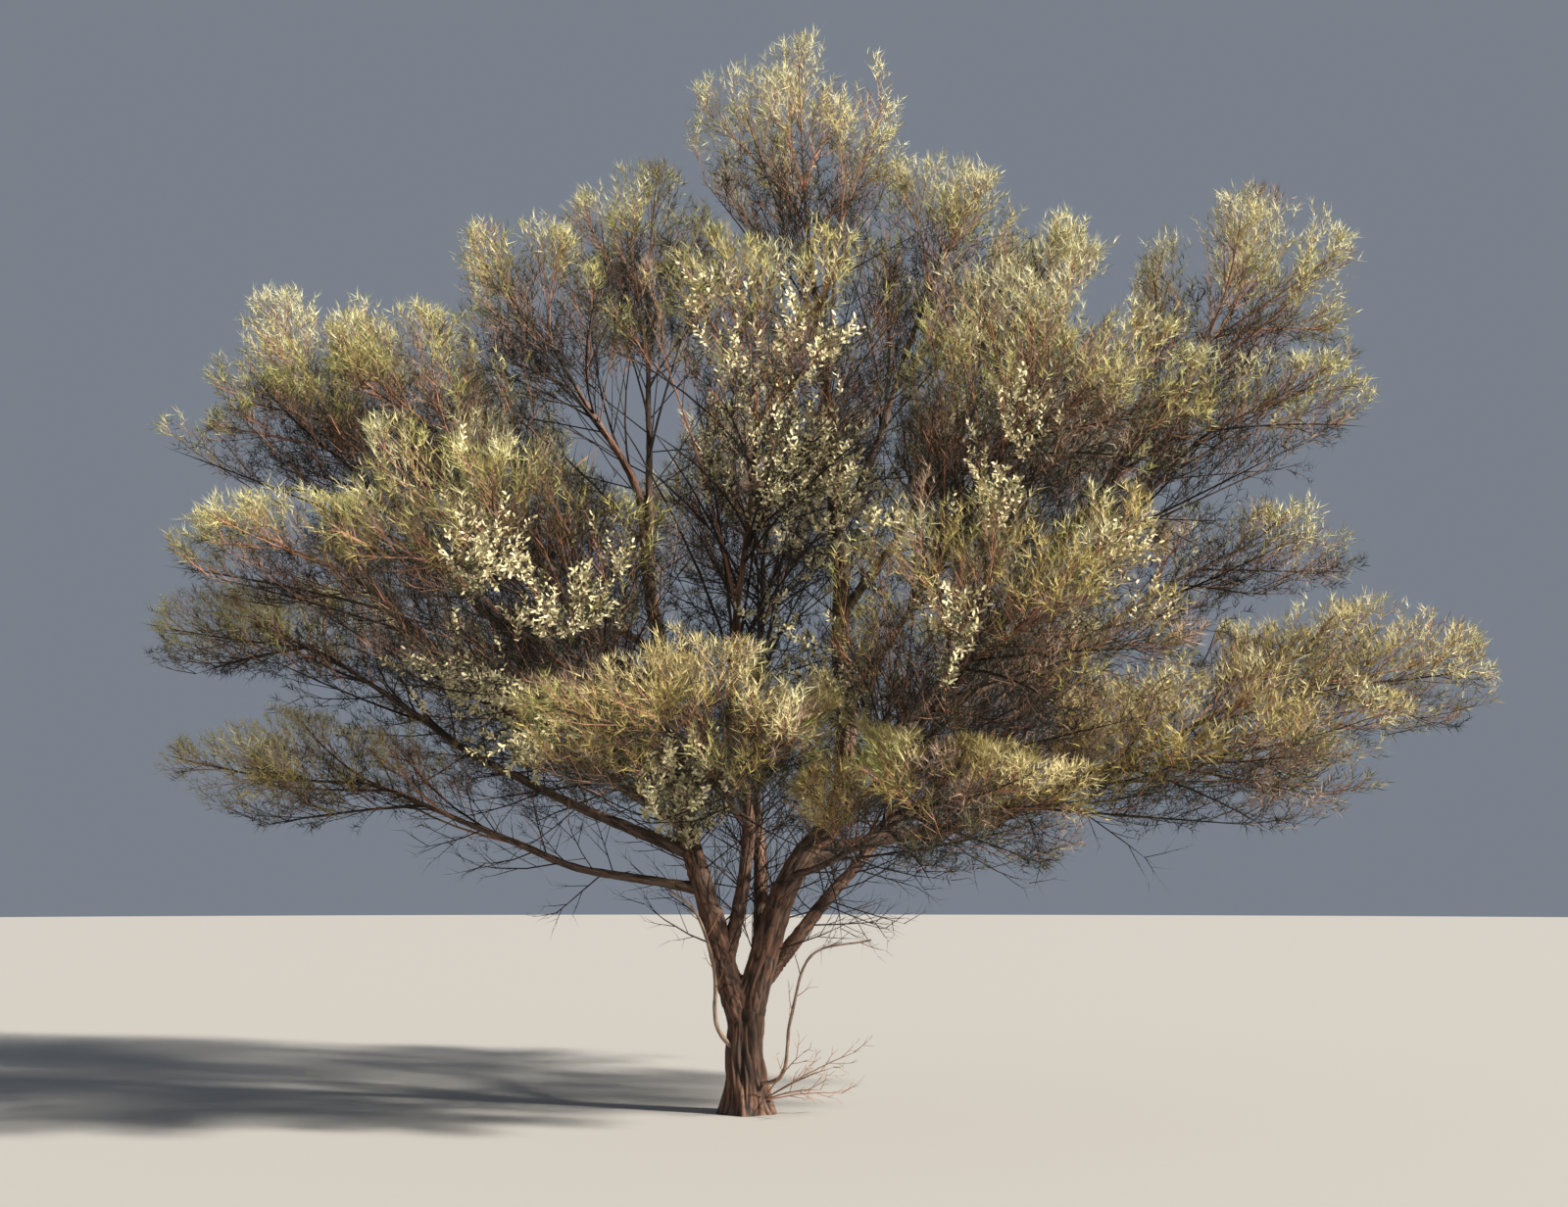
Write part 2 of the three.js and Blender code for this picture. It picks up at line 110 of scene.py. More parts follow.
# The main stems: name, what each leaves and where, radius at the foot, bends, and the mass it ends in.
STEMS = [
    dict(name="right_stem", start="trunk", at=0.82, radius=0.108,
         bends=[(0.085, 0, 0.96), (0.33, 0, 1.59), (0.61, 0.01, 2.01), (0.68, 0.06, 2.6),
                (0.64, 0.1, 3.5), (0.61, 0.11, 4.3)],
         mass="top", middle=(0.36, 0.2, 6.9), size=ROUND),
    dict(name="left_stem", start="trunk", at=0.8, radius=0.096,
         bends=[(-0.15, -0.02, 0.93), (-0.32, -0.02, 1.56), (-0.47, -0.04, 2.12), (-0.64, 0.04, 3.1),
                (-0.8, 0.22, 4.3)],
         mass="left_dome", middle=(-1.56, -0.1, 5.57), size=SMALL),
    dict(name="centre_stem", start="left_stem", at=0.1, radius=0.056,
         bends=[(-0.06, 0, 1.35), (0.01, -0.04, 1.95), (-0.11, -0.24, 2.7)],
         mass="front_middle", middle=(0.12, -1.5, 4.75), size=BROAD),
    dict(name="back_centre_stem", start="right_stem", at=0.07, radius=0.06,
         bends=[(0.09, 0.33, 1.45), (0.04, 0.7, 2.15)],
         mass="back_middle", middle=(0.1, 2.4, 4.8), size=BROAD),
    dict(name="back_stem", start="right_stem", at=0.045, radius=0.064,
         bends=[(0.27, 0.21, 1.08), (0.9, 0.8, 1.76)],
         mass="back_low_right", middle=(2.2, 2.2, 3), size=BROAD),
]

# The boughs: name, what each leaves and where, and the mass of foliage that it ends in.
BOUGHS = [
    dict(name="top_right", start="right_stem", at=0.62, middle=(1.39, -0.2, 5.97), size=SMALL),
    dict(name="left_crest", start="left_stem", at=0.66, middle=(-0.77, 0.5, 6.2), size=SMALL),
    dict(name="left_shoulder", start="left_stem", at=0.48, middle=(-2.3, -0.6, 4.8), size=SMALL),
    dict(name="left_high", start="left_stem", at=0.4, middle=(-3.15, -0.1, 4.72), size=FLAT),
    dict(name="left_horn", start="left_high", at=0.55, middle=(-3.27, 0.5, 5.25), size=SMALL),
    dict(name="left_middle", start="left_stem", at=0.31, middle=(-2.9, -0.8, 3.74), size=FLAT),
    dict(name="left_low", start="left_stem", at=0.27, middle=(-3.47, 0.6, 3.36), size=FLAT),
    dict(name="low_left", start="left_stem", at=0.215, middle=(-3, -0.2, 2.31), size=FLAT),
    dict(name="left_front", start="left_stem", at=0.36, middle=(-1.52, -1.8, 3.52), size=BROAD),
    dict(name="front_low", start="centre_stem", at=0.3, middle=(-0.35, -2.2, 2.45), size=WIDE),
    dict(name="front_right_low", start="right_stem", at=0.19, middle=(1.2, -1.8, 2.08), size=WIDE),
    dict(name="right_peak", start="right_stem", at=0.31, radius=0.062, middle=(3.56, 0, 5.66), size=ROUND),
    dict(name="right_crest", start="right_stem", at=0.52, middle=(2.03, 0.2, 5.69), size=SMALL),
    dict(name="right_high_tip", start="right_peak", at=0.42, middle=(3.35, -0.5, 4.75), size=FLAT),
    dict(name="right_middle", start="right_stem", at=0.41, middle=(1.85, -1.4, 4.62), size=BROAD),
    dict(name="right_middle_tip", start="right_peak", at=0.2, middle=(3.53, 0.4, 3.9), size=FLAT),
    dict(name="right_front", start="right_stem", at=0.24, middle=(1.6, -2, 3.08), size=BROAD),
    dict(name="right_low_tip", start="right_stem", at=0.215, radius=0.056, middle=(4.18, 0, 3.02), size=WIDE),
    dict(name="right_low", start="right_low_tip", at=0.36, middle=(3.05, -1, 2.42), size=LONG),
    dict(name="back_left", start="left_stem", at=0.56, middle=(-2.2, 1.8, 4.7), size=BROAD),
    dict(name="back_right", start="back_stem", at=0.6, middle=(2.3, 1.8, 4.9), size=BROAD),
    dict(name="back_low_left", start="back_centre_stem", at=0.4, middle=(-1.9, 2.1, 3), size=BROAD),
]

# The clumps of broad pale leaves, each on the side of a limb.
PALE_CLUMPS = [
    dict(name="pale_clump_left", start="left_front", at=0.74, middle=(-1.48, -1.15, 2.5)),
    dict(name="pale_clump_right", start="right_front", at=0.62, middle=(0.48, -1.3, 2.85)),
    dict(name="pale_clump_low", start="left_stem", at=0.235, middle=(-0.42, -0.56, 2.18)),
]
CLUMP_SIZE = np.array([0.4, 0.38, 0.39])

# The two bare dead limbs low on the trunk.
DEAD_LIMBS = [
    dict(name="dead_limb_left", start="trunk", at=0.55, radius=0.019, tip=0.008,
         bends=[(-0.185, -0.12, 0.56), (-0.215, -0.165, 0.95), (-0.34, -0.2, 1.33)],
         end=(-0.52, -0.24, 1.48)),
    dict(name="dead_limb_right", start="trunk", at=0.3, radius=0.016, tip=0.007,
         bends=[(0.23, -0.19, 0.26), (0.3, -0.23, 0.64), (0.43, -0.26, 1.05)],
         end=(0.83, -0.28, 1.15)),
]

# The dead shoots at the right of the trunk's foot: where they come from, their ends, the share of the way
# at which they leave the bark, how far they arch, and their radii.
FOOT_SHOOTS_FROM = np.array([0.1, -0.1, 0.1])
FOOT_SHOOTS = np.array([
    (0.6, -0.36, 0.34), (0.78, -0.22, 0.44), (0.5, -0.46, 0.2), (0.68, -0.12, 0.14), (0.4, -0.5, 0.46),
])
FOOT_SHOOTS_LEAVE = 0.12
FOOT_SHOOTS_ARCH = 0.04
FOOT_SHOOT_RADII = (0.006, 0.003)

# How far above the ground the ends of dead twigs stay.
GROUND_ROOM = 0.01

# The parts of the crown that are joined into one piece each, by the names of their masses.
CROWN_PARTS = {
    "left": ["left_dome", "left_crest", "left_shoulder", "left_high", "left_horn", "left_middle", "left_low",
             "low_left"],
    "middle": ["top", "front_middle", "left_front", "front_low", "front_right_low", "top_right",
               "right_front"],
    "right": ["right_peak", "right_crest", "right_high_tip", "right_middle", "right_middle_tip",
              "right_low_tip", "right_low"],
    "back": ["back_middle", "back_low_right", "back_left", "back_right", "back_low_left"],
}

# The boughs whose bark is joined into one piece each, by the side of the tree.
BOUGH_GROUPS = {
    "left": ["left_crest", "left_shoulder", "left_high", "left_horn", "left_middle", "left_low", "low_left",
             "left_front", "back_left"],
    "middle": ["front_low", "front_right_low", "right_front", "right_middle", "top_right", "back_low_left"],
    "right": ["right_peak", "right_crest", "right_high_tip", "right_middle_tip", "right_low_tip", "right_low",
              "back_right"],
}

# Where twigs carry broad pale leaves: the middle and radius of each patch, and the share of its twigs.
PALE_PATCHES = [
    ((-1.31, -2.5, 3.25), 0.36, 0.95),
    ((-1.2, -2.4, 3.3), 0.55, 0.3),
    ((-0.61, -2.4, 3.26), 0.36, 0.7),
    ((-1.59, -2.0, 2.46), 0.42, 0.8),
    ((-1.76, -2.3, 3.9), 0.3, 0.15),
    ((-1.95, -1.5, 2.5), 0.5, 0.85),
    ((-0.33, -2.1, 2.13), 0.34, 0.7),
    ((0.25, -2.4, 4.75), 0.55, 0.45),
    ((-0.1, -2.4, 5.1), 0.3, 0.5),
    ((0.57, -2.0, 3.9), 0.45, 0.5),
    ((1.52, -2.3, 4.09), 0.44, 0.8),
    ((1.15, -2.8, 2.82), 0.38, 0.65),
    ((2.5, -1.9, 3.47), 0.4, 0.5),
    ((3.45, -1.1, 4.33), 0.22, 0.5),
    ((0.4, -1.1, 3.7), 0.65, 0.6),
    ((0.1, -1.3, 4.3), 0.5, 0.6),
]

# Where twigs carry fresh green needles: the middle and the radius of each patch.
FRESH_PATCHES = [((0.6, -2.5, 2.3), 0.3), ((0.42, -2.4, 3.2), 0.2), ((-1.0, -2.7, 2.5), 0.2)]

# Where the sky shows through the crown: the two ends of each clearing, and its radius.
CLEARINGS = [((-0.63, -2.6, 4.1), (-1.12, 3.0, 5.52), 0.45), ((2.2, -1.4, 5.2), (2.75, 2.4, 6.35), 0.16)]

# The masses that are airier or fuller than the others, with the share of their branches.
AIRY_MASSES = {
    "low_left": 0.85, "left_horn": 0.8, "left_middle": 1.1, "left_low": 1.1, "right_high_tip": 0.9,
    "right_middle_tip": 0.7, "right_low_tip": 0.9,
}

# The seeds of the random draws.
CROWN_SEED = 11
MOOD_SEED = 13
FIRST_PART_SEED = 20
CLUMP_SEED = 31
DEAD_SEED = 41
SHOOT_SEED = 51

# The colours of needles from the shaded to the sunlit, low and high in the crown, and the light at which
# each gives way to the next.
NEEDLE_COLOURS = (
    "shade", "grey_green", "olive", "khaki", "golden", "pale_olive", "pale_khaki", "straw", "fresh", "dry",
)
SHADE_STEPS = (-0.3, -0.04, 0.21, 0.42)

# The first colour that has a paler one for high places, how many colours on that is, and the numbers of the
# two colours that stand apart.
FIRST_WITH_PALER = 2
PALER_BY = 3
FRESH_SHADE = 8
DRY_SHADE = 9

# The height from which sprays turn paler, and how much lower that is for brighter ones.
PALER_FROM = 3.5
PALER_BY_MOOD = 1.6

# The light on needles: how much brighter the top of a mass is, how much brighter its outside, the depth in
# it with even light, and how much the light varies from twig to twig.
BRIGHTER_TOP = 0.85
BRIGHTER_EDGE = 0.7
EVEN_DEPTH = 0.75
NEEDLE_LIGHT_SPREAD = 0.08

# How finely the brightness of sprays changes from place to place, how much it changes with the place and
# from spray to spray, and the share of sprays that are dry.
MOOD_GRAIN = 2.3
MOOD_BY_PLACE = 0.5
MOOD_BY_SPRAY = 0.1
DRY_SPRAYS = 0.06

# How much brighter, as painted sunlight, and leafier some masses are than their place gives, or how much
# darker, as painted shade.
MASS_PAINTED_LIGHT_AND_LEAFINESS = {
    "front_low": 0.3, "front_right_low": 0.3, "left_front": -0.1, "front_middle": -0.2, "low_left": 0.45,
    "left_low": 0.15, "left_high": -0.22, "left_shoulder": -0.15, "right_middle": 0.15, "right_low_tip": 0.15,
    "right_low": 0.25, "top": 0.1,
}

# The middle and the half width, depth and height of the whole crown.
CROWN_MIDDLE = np.array([0.3, 0.1, 3.9])
CROWN_SIZE = np.array([4.6, 3.0, 3.8])

# The light on the whole crown: how much brighter each metre up is, how much brighter the outside is, the
# depth at which it gets no darker, and the depth with even light.
BRIGHTER_EACH_METRE = 0.06
BRIGHTER_OUTSIDE = 0.9
DARKEST_DEPTH = 0.3
CROWN_EVEN_DEPTH = 0.85

# The colours of twigs, the light at which each gives way to the next, how much brighter twigs are at the
# top of a mass, and how much their light varies.
TWIG_COLOURS = ("dark_twig", "red_twig", "pale_twig")
TWIG_STEPS = (0.55, 1.55)
TWIG_LIGHT = 0.9
TWIG_LIGHT_SPREAD = 0.3

# The share of a mass's twigs that carry needles: the least, the weights of a twig's depth, height and
# brightness, and the two sums of these between which the share rises to all of them.
LEAFY_LEAST = 0.3
LEAFY_WEIGHTS = (0.55, 0.6, 0.5)
LEAFY_RISE = (-0.1, 0.55)

# The share of the bare inner twigs that still carry needles, and how much darker those are, as painted shade
# inside the crown and as older, duller needles.
INNER_LEAFY = 0.7
INNER_PAINTED_SHADE = 0.35

# The share of the limbs' last twigs that carry needles, and the heights between which it rises from none.
LIMB_LEAFY = 0.85
LIMB_LEAFY_FROM = (1.6, 2.6)

# Where a limb ends in its mass, as a share of the way from the middle to the edge, how far on to the middle
# the mass's own stem runs, and that stem's radius at its end.
ENTRY = 0.8
STEM_REACH = 0.5
STEM_END_RADIUS = 0.012

# The fan of branches in a mass: the longest, the widest angle, where on its spiral the first one stands,
# how far the fan is turned up, and from where on the mass's stem and how far to the edge they are aimed.
LONGEST_BRANCH = 1.5
WIDEST_ANGLE = math.radians(128)
INNERMOST = 0.35
UPWARD = 0.35
BRANCH_ORIGINS = (0.05, 1)
BRANCH_REACHES = (0.85, 1)

# How a branch is cut back until it ends in its own mass: its first share, the share kept each time, and how
# many times.
JUST_INSIDE = 0.995
REACH_STEP = 0.93
REACH_TRIES = 16

# Where branches leave their limb: the share and the length of its end, and the places on it and on the
# stem.
LEAFY_SHARE = 0.5
LEAFY_LENGTH = 1.3
LIMB_PATH_PLACES = 40
STEM_PATH_PLACES = 20

# How branches leave: their slant in radians, how much they bend to their end, their sag, their radius at
# the foot, by itself and for each metre, and at the tip.
BRANCH_SLANT = (0.4, 0.95)
BRANCH_BEND = 1.2
BRANCH_SAG = 0.09
BRANCH_FOOT = 0.0055
BRANCH_TAPER = 0.0035
BRANCH_TIP = 0.0035

# How twigs are kept in their mass: the shares that they are shortened to, the room for their needles, how
# ragged the edge is, its noise, and the room between the end of a twig and any limb.
SHORTER_TWIGS = (0.7, 0.6)
NEEDLE_ROOM = 0.085
RAGGED = 0.2
RAGGED_GRAIN = 3.2
RAGGED_MEAN = 0.4
RAGGED_SWING = 1.2
LIMB_ROOM = 0.006

# The orders of twigs: how many leave each twig of the order before, from what share of it, their lean in
# radians, how much they curve up, their length and their radius. The settings give what is missing here.
BRANCHLETS = dict(first=0.22, lean=0.5, rise=0.24, radius=0.0036)
LAST_TWIGS = dict(first=0.15, lean=0.56, rise=0.34, radius=0.0022)
BARE_ON_BRANCHES = dict(each=5, first=0.05, lean=0.8, rise=0.1, length=0.4, radius=0.003)
BARE_ON_STEMS = dict(each=10, first=0.1, lean=0.9, rise=0.1, length=0.5, radius=0.0035)
BARE_FORKS = dict(each=4, first=0.2, lean=0.7, rise=0.15, length=0.2, radius=0.002)
CLUMP_TWIGS = dict(each=9, first=0.2, lean=0.7, rise=0.1, length=0.17, radius=0.0018)
DEAD_FORKS = dict(each=2, first=0.3, lean=0.6, rise=0.1, length=0.1, radius=0.0016)
FOOT_FORKS = dict(each=5, first=0.2, lean=0.6, rise=0.2, length=0.22, radius=0.003)
FOOT_LAST = dict(each=3, first=0.3, lean=0.6, rise=0.1, length=0.1, radius=0.0018)
LIMB_FORKS = dict(each=6, first=0.2, lean=0.65, rise=0.15, length=0.32, radius=0.0034)
LIMB_LAST = dict(each=3, first=0.3, lean=0.6, rise=0.15, length=0.16, radius=0.0016)

# How the leans and lengths of twigs vary, and their length at the foot of what they grow on and how much
# shorter it is at the tip.
TWIG_LEANS = (0.7, 1.3)
TWIG_LENGTHS = (0.7, 1.2)
LENGTH_AT_FOOT = 1.15
SHORTER_AT_TIP = 0.5

# The tubes of each order of twigs: their sides, their segments and how bright they are.
CROWN_TUBES = [(6, 4, 0), (5, 5, 0.2), (3, 2, 0.6), (3, 1, 1), (3, 1, 0.1)]
CLUMP_TUBES = [(6, 3, 0), (4, 3, 1.2), (3, 1, 1.2)]
DEAD_TWIG_TUBES = [(3, 3, 2.2)]
LIMB_TWIG_TUBES = [(4, 3, 0.5), (3, 2, 0.9), (3, 1, 1.2)]

# The clumps of pale leaves: their shoots, from where on the stem and how far to the edge these run, their
# sag, and the radii of the stem and of the shoots.
CLUMP_SHOOTS = 16
CLUMP_ORIGINS = (0.3, 1)
CLUMP_REACHES = (0.75, 0.95)
CLUMP_SAG = 0.03
CLUMP_STEM_RADII = (0.009, 0.007)
CLUMP_SHOOT_RADII = (0.005, 0.003)

# Shoots on the sides of limbs: how many on each metre of a stem and of a bough, the shares of the limb
# between which they stand, their length, radius and lean. The thicket round the fork reaches up to a
# height, and starts at a share of the way to it.
STEM_SHOOTS = 9
BOUGH_SHOOTS = 7
LIMB_SHOOTS = dict(span=(0.25, 0.97), length=0.5, radius=0.0055, lean=0.95)
DEAD_SHOOTS = dict(count=7, span=(0.35, 0.97), length=0.22, radius=0.0035, lean=0.7)
THICKET_SHOOTS = dict(count=18, length=0.6, radius=0.006, lean=1.0)
THICKET_TOP = 2.3
THICKET_START = 0.25

# How side shoots vary in lean and length, how far out in the limb they start, how much they rise and
# spread, how much longer they are inside the crown, and the depths between which that fades.
SHOOT_LEANS = (0.75, 1.25)
SHOOT_LENGTHS = (0.5, 1.3)
SHOOT_FOOT = 0.5
SHOOT_RISE = 0.25
SHOOT_SPREAD = 0.25
INNER_LONGER = 0.6
INNER_ZONE = (0.45, 0.75)

# Needles and leaves on a twig: the share of it from which they stand, their lean and how much they rise,
# and how their leans vary.
NEEDLE_STANCE = dict(first=0.3, lean=0.85, rise=0.24)
LEAF_STANCE = dict(first=0.1, lean=0.9, rise=0.1)
BLADE_LEANS = (0.6, 1.4)

# Needles: how far the two of a pair part and how that varies, how their lengths vary, how far in radians
# their faces turn from the way out of the mass, and how much that way is turned up.
PARTING = 0.2
PARTINGS = (0.5, 1.5)
NEEDLE_LENGTHS = (0.65, 1.2)
FACE_SPREAD = 0.55
FACES_UP = 0.4

# Pale leaves: their colours and how often each comes, how their sizes vary, where their two shoulders are,
# how broad the outer ones are beside the inner ones, and how much they cup.
# Moss is painted shade, dealt out at random among the pale leaves.
LEAF_COLOURS = ("cream", "sage", "moss")
LEAF_SHADES = [0, 0, 0, 1, 2]
LEAF_SIZES = (0.7, 1.2)
LEAF_SHOULDERS = (0.35, 0.75)
OUTER_SHOULDER = 0.85
LEAF_CUP = 0.35

# The furrows of the bark: the radius of a limb with their full spacing, the least and the most of it, how
# far they are drawn out, how steep they are, and the power of the radius by which they get shallower.
FURROW_RADIUS = 0.1
FURROW_SPACINGS = (0.45, 1.2)
FURROW_DRAWN = 0.13
FURROW_STEEPNESS = 2.4
FURROW_POWER = 0.75

# The fibres and plates on the bark: their grain, their place in the noise and their share of the relief.
FIBRE_GRAIN = np.array([2.6, 2.6, 1.7])
FIBRE_APART = 5.0
FIBRE_SHARE = 0.22
PLATE_GRAIN = np.array([0.6, 0.6, 3.0])
PLATE_APART = 11.0
PLATE_SHARE = 0.16

# How the bark's pattern turns round a limb, in radians for each metre, and the lumps of a limb: how many on
# each metre and how high beside its radius.
BARK_TWIST = 0.5
LUMP_GRAIN = 4
LUMPS = 0.06

# The tubes of the limbs: their sides, their step along the limb and their collar at the foot. A stem has a
# side for each of these lengths round its foot.
STEM_SIDE = 0.014
STEM_LEAST_SIDES = 20
STEM_TUBE = dict(step=0.03, collar=0.0)
BOUGH_TUBE = dict(sides=14, step=0.04, collar=0.5)
DEAD_TUBE = dict(sides=12, step=0.02, collar=0.0)
LEAST_RINGS = 6

# Over how many radii a collar fades, the relief on the two caps, and how deep a stem's own piece starts
# inside the fused skin and over what length it comes out.
COLLAR_FADE = 3
CAP_RELIEF = [0.5, 0.5]
TUCKED_IN = 0.004
TUCKED_LENGTH = 0.05

# The skin that fuses the trunk and the feet of the stems: how high it reaches, how far below that each
# stem's own piece starts, and how far above it the nearest limb is still looked for.
FUSED_LIMBS = ["right_stem", "left_stem", "centre_stem", "back_centre_stem", "back_stem"]
FUSED_TOP = 1.18
FUSED_OVERLAP = 0.12
FUSED_MARGIN = 0.1

# The tubes that the skin is made from, how deep they start in the ground, how often the skin is smoothed,
# the places on each limb that are compared with it, and over what length and by how much a stem closes at
# its top.
SKIN_SIDES = 40
SKIN_RINGS = 60
SKIN_BELOW_GROUND = 0.03
SKIN_SMOOTHINGS = 8
SKIN_LINE_PLACES = 120
CLOSING_LENGTH = 0.07
CLOSING = 0.3

# Where two limbs meet in the skin, furrows keep this share of their depth, and have all of it this far
# away.
MEETING_FURROWS = 0.35
MEETING_ROOM = 0.02

# The deep fold in the trunk: its angle and half width in radians, the heights over which it starts and ends,
# its depth, and how much of the bark's relief it takes away in the colour, which gives the fold the furrows'
# dark colour as painted shade.
FOLD_ANGLE = -1.75
FOLD_WIDTH = 0.2
FOLD_START = (0.05, 0.3)
FOLD_END = (0.6, 0.75)
FOLD_DEPTH = 0.022
FOLD_PAINTED_SHADE = 0.8

# The grains in the bark's colour: how far each is drawn out along the limb, its scale, detail and share of
# the height, how rough they are, and the heights of furrows, fibres and ridges.
BARK_GRAINS = [(0.14, 26.0, 4.0, 0.55), (0.07, 110.0, 5.0, 0.3), (0.3, 60.0, 4.0, 0.15)]
GRAIN_ROUGHNESS = 0.55
BARK_STEPS = (0.36, 0.5, 0.66)

# The grey weathering of the bark: its scale and detail, between what noise it sets in, and how strong it
# is.
WEATHER_GRAIN = (5.0, 2.0)
WEATHER_RANGE = (0.42, 0.7)
WEATHERING = 0.55

# The relief up to which bark has the furrows' colour, its roughness and how much smoother ridges are, the
# roughness for programs that can't follow its nodes, and how much its grains stand out.
DEEP_BARK = 0.55
BARK_ROUGHNESS = 0.95
SMOOTHER_RIDGES = 0.25
EVEN_ROUGHNESS = 0.85
BUMP_STRENGTH = 0.6
BUMP_DISTANCE = 0.012

# The colours of boughs and of dead wood that differ from the trunk's.
BOUGH_FIBRE = (0.1, 0.058, 0.04)
BOUGH_RIDGE = (0.22, 0.14, 0.095)
DEAD_FURROW = (0.12, 0.09, 0.07)
DEAD_RIDGE = (0.5, 0.42, 0.34)

# How rough needles, leaves and twigs are, and how glossy.
BLADE_ROUGHNESS = 0.6
TWIG_ROUGHNESS = 0.8
PLAIN_GLOSS = 0.3

# The floor, the light all round and the key light: its strength, width, colour and direction.
FLOOR_SIDES = 96
FLOOR_ROUGHNESS = 0.9
SKY_STRENGTH = 0.26
KEY_STRENGTH = 11.8
KEY_WIDTH = math.radians(4)
KEY_COLOUR = (1.0, 0.93, 0.82)
KEY_FROM = (0.8, -0.36, 0.48)

# The photograph's view: the camera looks along +Y, tilted up, with this focal length.
CAMERA_TILT = math.radians(8.65)
SENSOR_WIDTH = 36.0
FOCAL_LENGTH = 42.75
FARTHEST_SEEN = 300.0


def unit(vectors):
    """The vectors, each made one long."""
    return vectors / np.maximum(np.linalg.norm(vectors, axis=-1, keepdims=True), LEAST_LENGTH)


def across(headings):
    """Two directions at right angles to each heading and to each other."""
    flat = np.abs(headings[..., 2:]) < NEARLY_UP
    other = np.where(flat, UP, np.array([1.0, 0.0, 0.0]))
    side = unit(np.cross(headings, other))
    return side, np.cross(headings, side)


def turned(angle, first, second):
    """The directions found by turning from the first ones towards the second ones by the angles."""
    return np.cos(angle)[:, None] * first + np.sin(angle)[:, None] * second


def smoothstep(low, high, values):
    """0 below low, 1 above high and a smooth rise between them."""
    share = np.clip((values - low) / (high - low), 0, 1)
    return share * share * (3 - 2 * share)


def noise_at(places):
    """Smooth noise from -1 to 1 at each place."""
    return np.array([noise.noise(Vector(place)) for place in places])


@dataclass
class Limb:
    """A trunk, stem or bough: even places along its middle, its length, radii and place in the noise."""

    line: np.ndarray
    length: float
    foot: float
    tip: float
    offset: float

    def place(self, share):
        steps = np.linspace(0, 1, len(self.line))
        return np.stack([np.interp(share, steps, self.line[:, k]) for k in range(3)], axis=-1)

    def heading(self, share):
        ahead = self.place(np.minimum(share + HEADING_STEP, 1.0))
        behind = self.place(np.maximum(share - HEADING_STEP, 0.0))
        return unit(ahead - behind)

    def radius(self, share):
        return self.tip + (self.foot - self.tip) * (1 - share) ** TAPER_POWER


@dataclass
class Twigs:
    """Many curved twigs, row by row: start, bend and end, radii, mass and the spray each belongs to."""

    start: np.ndarray
    bend: np.ndarray
    end: np.ndarray
    foot: np.ndarray
    tip: np.ndarray
    mass: np.ndarray
    spray: np.ndarray

    def __len__(self):
        return len(self.start)

    def take(self, rows):
        return Twigs(*(getattr(self, field.name)[rows] for field in fields(self)))

    def place(self, share):
        s = np.reshape(share, (-1, 1))
        return (1 - s) ** 2 * self.start + 2 * s * (1 - s) * self.bend + s * s * self.end

    def heading(self, share):
        s = np.reshape(share, (-1, 1))
        return unit((1 - s) * (self.bend - self.start) + s * (self.end - self.bend))

    def shortened(self, rows, share):
        """The same twigs, with those of the given rows cut to a share of their length."""
        kept = np.where(rows, share, 1.0)[:, None]
        bend = self.start + (self.bend - self.start) * kept
        end = self.start + (self.end - self.start) * kept
        return Twigs(self.start, bend, end, self.foot, self.tip, self.mass, self.spray)


def grown(start, bend, end, foot, tip, mass=0, spray=0):
    """Twigs from their places, with single values shared by every row."""
    count = len(start)
    rows = [np.broadcast_to(np.asarray(value), (count,)).copy() for value in (foot, tip, mass, spray)]
    return Twigs(start, bend, end, *rows)


def gathered(groups):
    """Several groups of twigs as one."""
    return Twigs(*(np.concatenate([getattr(g, f.name) for g in groups]) for f in fields(Twigs)))


CARRIERS = STEMS + BOUGHS
MASS_NAMES = [entry.get("mass", entry["name"]) for entry in CARRIERS]
MIDDLES = np.array([entry["middle"] for entry in CARRIERS])
SIZES = np.array([entry["size"] for entry in CARRIERS])


def depth_in(places, middles, sizes):
    """How far places are from the middle of their mass, with 1 at its edge."""
    return np.linalg.norm((places - middles) / sizes, axis=-1)


def is_own(places, mass):
    """Whether each place lies inside its mass and deeper in it than in any other."""
    own = depth_in(places, MIDDLES[mass], SIZES[mass])
    inside = own < 1
    for k in range(len(MIDDLES)):
        inside &= (mass == k) | (depth_in(places, MIDDLES[k], SIZES[k]) >= own)
    return inside


def smooth_line(points):
    """Evenly spaced places along a centripetal curve through the points, and its length."""
    p = np.array(points, dtype=float)
    p = np.vstack([2 * p[0] - p[1], p, 2 * p[-1] - p[-2]])
    gaps = np.sqrt(np.linalg.norm(np.diff(p, axis=0), axis=1))
    t = np.linspace(0, 1, CURVE_PLACES, endpoint=False)[:, None]
    parts = []
    for k in range(1, len(p) - 2):
        a, b, c, d = p[k - 1:k + 3]
        before, here, after = gaps[k - 1:k + 2]
        leave = here * ((b - a) / before - (c - a) / (before + here) + (c - b) / here)
        arrive = here * ((c - b) / here - (d - b) / (here + after) + (d - c) / after)
        cubic = 2 * b - 2 * c + leave + arrive
        square = -3 * b + 3 * c - 2 * leave - arrive
        parts.append(b + leave * t + square * t ** 2 + cubic * t ** 3)
    line = np.vstack([*parts, p[-2:-1]])
    along = np.concatenate([[0], np.cumsum(np.linalg.norm(np.diff(line, axis=0), axis=1))])
    even = np.linspace(0, along[-1], LINE_PLACES)
    return np.stack([np.interp(even, along, line[:, k]) for k in range(3)], axis=1), along[-1]


